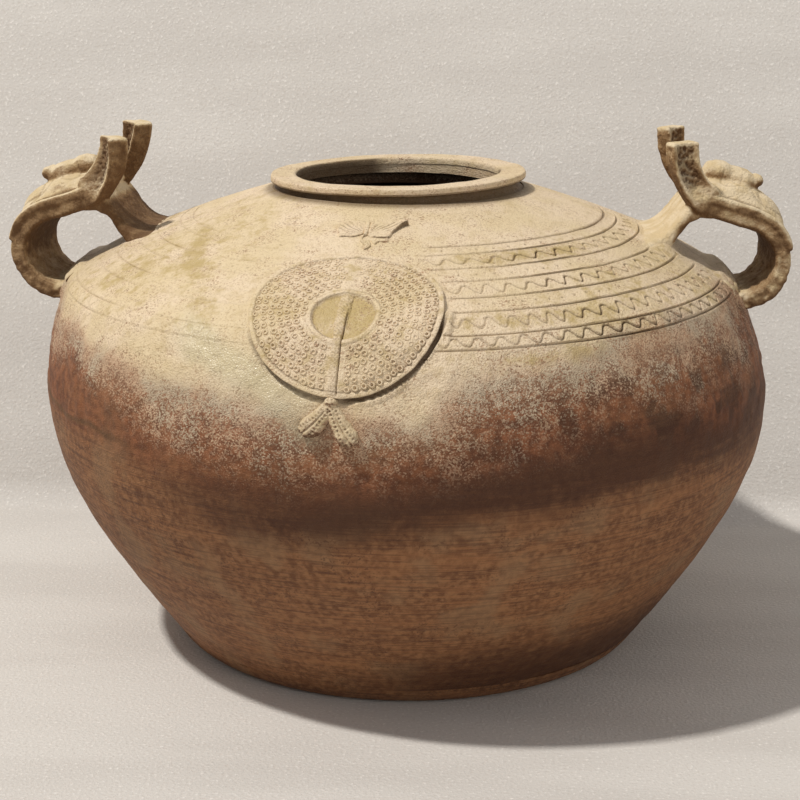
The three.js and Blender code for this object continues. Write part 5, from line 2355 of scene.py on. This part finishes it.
    def build(self, finish: Material) -> None:
        """Make the handle as one worked piece of clay.

        Args:
            finish: its material.
        """
        skins = [self.strap(), self.plate(), self.snout(), self.leg()]
        skins += [self.horn(horn) for horn in HORNS[self.side]]
        skins += [self.eye(-1), self.eye(1), self.web(), self.luting()]
        name = f"{self.side.name.lower()}_mask_handle"
        clay = fused(name, skins, self.grain, finish, self.joint_passes)
        points, groove = self.worked(clay)
        marks = {"ash": self.ash(clay, points), "groove": groove}
        self.set_on_jar(clay, points)
        mark_points(clay, marks)
        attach(clay, "root")
        parts = ("strap", "inner_leg", "mask_plate", "mask_snout", "front_horn", "rear_horn", "root_clay")
        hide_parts(*[f"{self.side.name.lower()}_{part}" for part in parts])
        log.info("%s: %d faces", name, len(clay.data.polygons))

    def worked(self, clay: Object) -> tuple[Array, Array]:
        """Smooth the slanted leg, then press lines into the clay and roughen it.

        Args:
            clay: the fused handle; its vertices move.

        Returns:
            The new places in millimetres, and marks of the grooves.
        """
        points = mesh_points(clay)
        # The new faces lie in steps where the clay runs at a slant: the inner leg is smoothed more
        slant = smooth(points[:, 0], self.run_start[0] - 2.0, self.run_start[0] - 7.0)
        soft = np.stack([eased(clay, points[:, k], self.leg_passes) for k in range(3)], -1)
        points = points + (soft - points) * slant[:, None]
        move_points(clay, points)
        normals = mesh_normals(clay)
        push, groove = self.tooling(points, normals)
        # The luting clay round the lower root was left torn and rough
        torn = smooth(points[:, 2], 207.0, 197.0) * smooth(points[:, 0], 150.0, 162.0)
        push += torn * (1.1 * rough(points, 8.0, 3, 131) + 0.5 * value_noise(points, 2.6, 135))
        points = points + normals * push[:, None]
        move_points(clay, points)
        return points, groove

    def set_on_jar(self, clay: Object, points: Array) -> None:
        """Toe the handle in, bring it to its side of the jar and lean it with the jar.

        Args:
            clay: the handle; its vertices move.
            points: their places in millimetres.
        """
        angle = math.radians(self.toe_degrees)
        x, y = points[:, 0] - self.centre[0], points[:, 1]
        toed_x = self.centre[0] + x * math.cos(angle) - y * math.sin(angle)
        toed_y = x * math.sin(angle) + y * math.cos(angle)
        toed = np.stack([toed_x * self.side.value, toed_y, points[:, 2]], -1)
        move_points(clay, self.outline.leaned(toed))
        if self.side is Side.LEFT:
            clay.data.flip_normals()

    def ash(self, clay: Object, points: Array) -> Array:
        """Where dry ash lies: on what looks up, and on the roots beside the shoulder; painted shade lowers
        it on the inner leg and on the faces that look to the front.

        Args:
            clay: the handle, before it is set on the jar.
            points: its vertices in millimetres.

        Returns:
            Shares, most of them from 0 to 1.
        """
        normals = mesh_normals(clay)
        x, z = points[:, 0], points[:, 2]
        along, _, out = self.local(points)
        up = eased(clay, normals[:, 2], 2) + 0.2 * rough(points, 9.0, 3, 140)
        ash = 0.05 + 0.92 * smooth(up, -0.4, 0.5)
        # The inside of the loop was out of reach of the falling ash
        ash *= 1.0 - 0.6 * smooth(out, -2.2, -3.8) * smooth(out, -9.0, -6.0) * smooth(along, 4.0, 14.0)
        # Painted shade on the inner leg, where the left handle's strap casts its shadow
        leg = smooth(x, self.run_start[0] + 3.0, self.run_start[0] - 1.0)
        leg *= smooth(z, self.run_start[1] + 2.0, self.run_start[1] - 4.0)
        shade, edge_shade, crown_share = PAINTED_SHADE_AND_LOW_ASH[self.side]
        ash *= 1.0 - shade * leg
        # Painted shade on the faces that look to the front, most on the left handle
        ash *= 1.0 - edge_shade * smooth(-normals[:, 1], 0.5, 0.8) * (1.0 - leg)
        # Near the shoulder the clay of the right handle carries the same ash as the shoulder does
        radii, heights = self.crown
        from_axis = np.hypot(x, points[:, 1])
        near = smooth(z - np.interp(from_axis, radii, heights), 7.0, 1.0) * smooth(x, 158.0, 150.0)
        ash += (0.95 - ash) * near * crown_share
        off_wall = from_axis - np.interp(z, heights[::-1], radii[::-1])
        rooted = smooth(off_wall, 9.0, 2.0) * smooth(x, 150.0, 160.0) * smooth(normals[:, 2], -0.3, 0.3)
        return ash + (0.9 - ash) * 0.85 * rooted

    def tooling(self, points: Array, normals: Array) -> tuple[Array, Array]:
        """Grain of the clay, gritty horn faces darkened with painted shade, and lines pressed into the
        mask.

        Args:
            points: places before the handle is set on the jar.
            normals: the ways they face.

        Returns:
            Heights and marks of the grooves.
        """
        seed, start = GRAIN_SEED[self.side]
        push = 0.5 * value_noise(points, 9.0, seed) + 0.42 * rough(points, 4.0, 3, seed + 1)
        groove = np.zeros(len(points))
        grit = value_noise(points, 0.85, seed + 7)
        for horn in HORNS[self.side]:
            middle, face, across = self.horn_frames(horn, 40)
            offset = points[:, None, :] - middle[None]
            nearest = np.argmin(np.sum(offset ** 2, -1), 1)
            near = offset[np.arange(len(points)), nearest]
            aside = np.abs(np.sum(near * across[nearest], -1))
            looks = np.sum(normals * face[nearest], -1)
            own = (np.sqrt(np.sum(near ** 2, -1)) < 9.0) * smooth(aside, 5.2, 3.8) * smooth(looks, 0.3, 0.7)
            own *= smooth(nearest, 2.0, 6.0) * smooth(nearest, 39.0, 37.0)
            high = smooth(nearest, start, start + 14.0)
            push += own * (0.15 + 0.4 * high) * grit
            # The hollow faces are gritty, and painted shade darkens their upper part through the groove
            # mark
            groove = np.maximum(groove, own * high * (0.5 + 0.5 * smooth(grit, 0.2, -0.5)) * 0.95)
        along, across_strap, out = self.local(points)
        aside = np.abs(across_strap)
        top = smooth(out, self.half_thick + 1.0, self.half_thick + 3.0) * smooth(along, 2.0, 6.0)
        # A line inside the border, and three arcs round each eye and cheek
        inner = smooth(np.abs(aside - 22.6), 0.9, 0.2) * top * smooth(along, 52.0, 48.0)
        push -= 0.6 * inner
        groove = np.maximum(groove, 0.5 * inner)
        for k, (centre, radius) in enumerate(ARCS):
            ring = np.hypot(along - centre, aside - 10.5 - 1.2 * k)
            arc = smooth(np.abs(ring - radius), 0.8, 0.2) * top * smooth(aside, 7.0, 9.0)
            push -= 0.3 * arc
            groove = np.maximum(groove, 0.22 * arc)
        return push, groove

    def local(self, points: Array) -> tuple[Array, Array, Array]:
        """Distance along the strap, across it and out of its middle for places.

        Args:
            points: places in millimetres, one row each.

        Returns:
            The three distances, per place.
        """
        line, run = self.line[::3], self.run[::3]
        offset = points[:, None, ::2] - line[None]
        nearest = np.argmin(np.sum(offset ** 2, -1), 1)
        _, direction, out = self.frame_at(run)
        near = offset[np.arange(len(points)), nearest]
        along = run[nearest] + np.sum(near * direction[nearest], -1)
        return along, points[:, 1], np.sum(near * out[nearest], -1)


# Stage, light and camera


@dataclass
class Studio:
    """Pale foam sheet under and behind the jar, a small lamp at the left, and the camera.

    Places and lengths are metres here.
    """

    floor: str = "#d3cdc5"
    wall: str = "#beb7af"
    bead_pale: str = "#f4eee6"
    bead_dark: str = "#b9afa4"
    bead: float = 1.7
    sheet_reach: float = 3.0
    fold_line: float = 0.155
    fold_round: float = 0.03
    wall_lean_degrees: float = 62.0
    key_place: tuple[float, float, float] = (-2.15, -0.94, 4.45)
    key_size: float = 0.24
    key_watts: float = 202.0
    fill_place: tuple[float, float, float] = (1.5, -1.7, 0.9)
    fill_size: float = 1.0
    fill_watts: float = 7.0
    lamp_colour: tuple[float, float, float] = (1.0, 0.985, 0.955)
    aim: tuple[float, float, float] = (0.0, 0.0, 0.15)
    sky_colour: str = "#fbfbff"
    sky_strength: float = 0.31
    camera_place: tuple[float, float, float] = (0.0685, -0.9475, 0.3795)
    camera_degrees: tuple[float, float, float] = (74.85, 0.0, 4.4)
    lens_millimetres: float = 81.54
    sensor_millimetres: float = 36.0

    def paper(self) -> Material:
        """Matt foam sheet with a grain of small beads.

        Returns:
            The material.
        """
        s = Shader("pale_foam_sheet")
        beads, haze = s.noise(self.bead, 2.0), s.noise(60.0, 3.0, (4.0, 1.0, 1.0))
        colour = s.wash(self.floor, self.wall, haze, (0.35, 0.65), most=0.4)
        colour = s.wash(colour, self.bead_pale, beads, (0.58, 0.74), most=0.55)
        colour = s.wash(colour, self.bead_dark, beads, (0.44, 0.3), most=0.3)
        # The sheet is one-sided, so that the jar can also be looked at from behind it
        behind = add_node(s.tree, "ShaderNodeNewGeometry").outputs["Backfacing"]
        clear = add_node(s.tree, "ShaderNodeBsdfTransparent").outputs[0]
        links = {0: behind, 1: s.surface.outputs[0], 2: clear}
        sided = add_node(s.tree, "ShaderNodeMixShader", links=links).outputs[0]
        s.tree.links.new(sided, s.output.inputs["Surface"])
        return s.finish(colour, s.relief(beads, 0.5), 0.8, 1.45)

    def sheet_line(self) -> list[tuple[float, float]]:
        """The sheet seen from the side: the floor, its fold and the wall that leans back.

        Returns:
            Places along it, as Y and Z.
        """
        line = [(-self.sheet_reach, 0.0)]
        for angle in np.radians(np.linspace(0.0, self.wall_lean_degrees, 12)):
            y = self.fold_line + self.fold_round * math.sin(angle)
            line.append((y, self.fold_round * (1.0 - math.cos(angle))))
        lean = math.radians(self.wall_lean_degrees)
        y, z = line[-1]
        line.append((y + self.sheet_reach * math.cos(lean), z + self.sheet_reach * math.sin(lean)))
        return line

    def build(self) -> None:
        """Make the stage, the lamps, the world and the camera."""
        self.camera()
        line = self.sheet_line()
        points = [(x, y, z) for y, z in line for x in (-self.sheet_reach, self.sheet_reach)]
        mesh = bpy.data.meshes.new("foam_sheet")
        squares = [(2 * k, 2 * k + 1, 2 * k + 3, 2 * k + 2) for k in range(len(line) - 1)]
        mesh.from_pydata(points, [], squares)
        mesh.shade_smooth()
        mesh.set_sharp_from_angle(angle=math.radians(30.0))
        mesh.materials.append(self.paper())
        sheet = bpy.data.objects.new("foam_sheet", mesh)
        bpy.context.scene.collection.objects.link(sheet)
        self.lamp("key_lamp", self.key_place, self.key_size, self.key_watts)
        self.lamp("fill_lamp", self.fill_place, self.fill_size, self.fill_watts)
        self.sky()

    def lamp(self, name: str, place: tuple[float, float, float], size: float, power: float) -> None:
        """A square soft lamp that looks at the jar's shoulder.

        Args:
            name: name of the lamp.
            place: where it hangs.
            size: length of its sides.
            power: its power in watts.
        """
        light = bpy.data.lights.new(name, "AREA")
        light.size = size
        light.energy = power
        light.color = self.lamp_colour
        thing = bpy.data.objects.new(name, light)
        thing.location = place
        thing.rotation_euler = (Vector(self.aim) - Vector(place)).to_track_quat("-Z", "Y").to_euler()
        bpy.context.scene.collection.objects.link(thing)

    def sky(self) -> None:
        """Even light from all round, and a plain pale background."""
        world = bpy.data.worlds.new("soft_room")
        world.use_nodes = True
        tree = world.node_tree
        tree.nodes.clear()
        colour = linear(self.sky_colour)
        light = add_node(tree, "ShaderNodeBackground", values={0: colour, 1: self.sky_strength})
        seen = add_node(tree, "ShaderNodeBackground", values={0: linear(self.wall), 1: 1.0})
        ray = add_node(tree, "ShaderNodeLightPath").outputs["Is Camera Ray"]
        links = {0: ray, 1: light.outputs[0], 2: seen.outputs[0]}
        both = add_node(tree, "ShaderNodeMixShader", links=links)
        add_node(tree, "ShaderNodeOutputWorld", links={"Surface": both.outputs[0]})
        bpy.context.scene.world = world
        bpy.context.scene.view_settings.view_transform = "Standard"

    def camera(self) -> None:
        """The camera at the photograph's viewing angle."""
        lens = bpy.data.cameras.new("camera")
        lens.lens = self.lens_millimetres
        lens.sensor_width = self.sensor_millimetres
        lens.clip_start = 0.05
        thing = bpy.data.objects.new("camera", lens)
        thing.location = self.camera_place
        thing.rotation_euler = Euler([math.radians(angle) for angle in self.camera_degrees])
        bpy.context.scene.collection.objects.link(thing)
        bpy.context.scene.camera = thing


def main() -> None:
    """Build the stage and every piece of the jar in order."""
    logging.basicConfig(level=logging.INFO, format="%(name)s: %(message)s")
    Studio().build()
    outline = JarOutline()
    disc = DiscPlace()
    clay = AshGlazedStoneware().material()
    body = JarBody(outline, ShoulderCarving(outline, disc), disc)
    body.build(clay)
    StampedDisc(outline, disc).build(clay)
    Tassels(outline, disc).build(clay)
    Bow(outline, disc).build(clay)
    dry = DryAshedClay().material()
    for side in Side:
        MaskHandle(outline, side).build(dry)


if __name__ == "__main__":
    main()
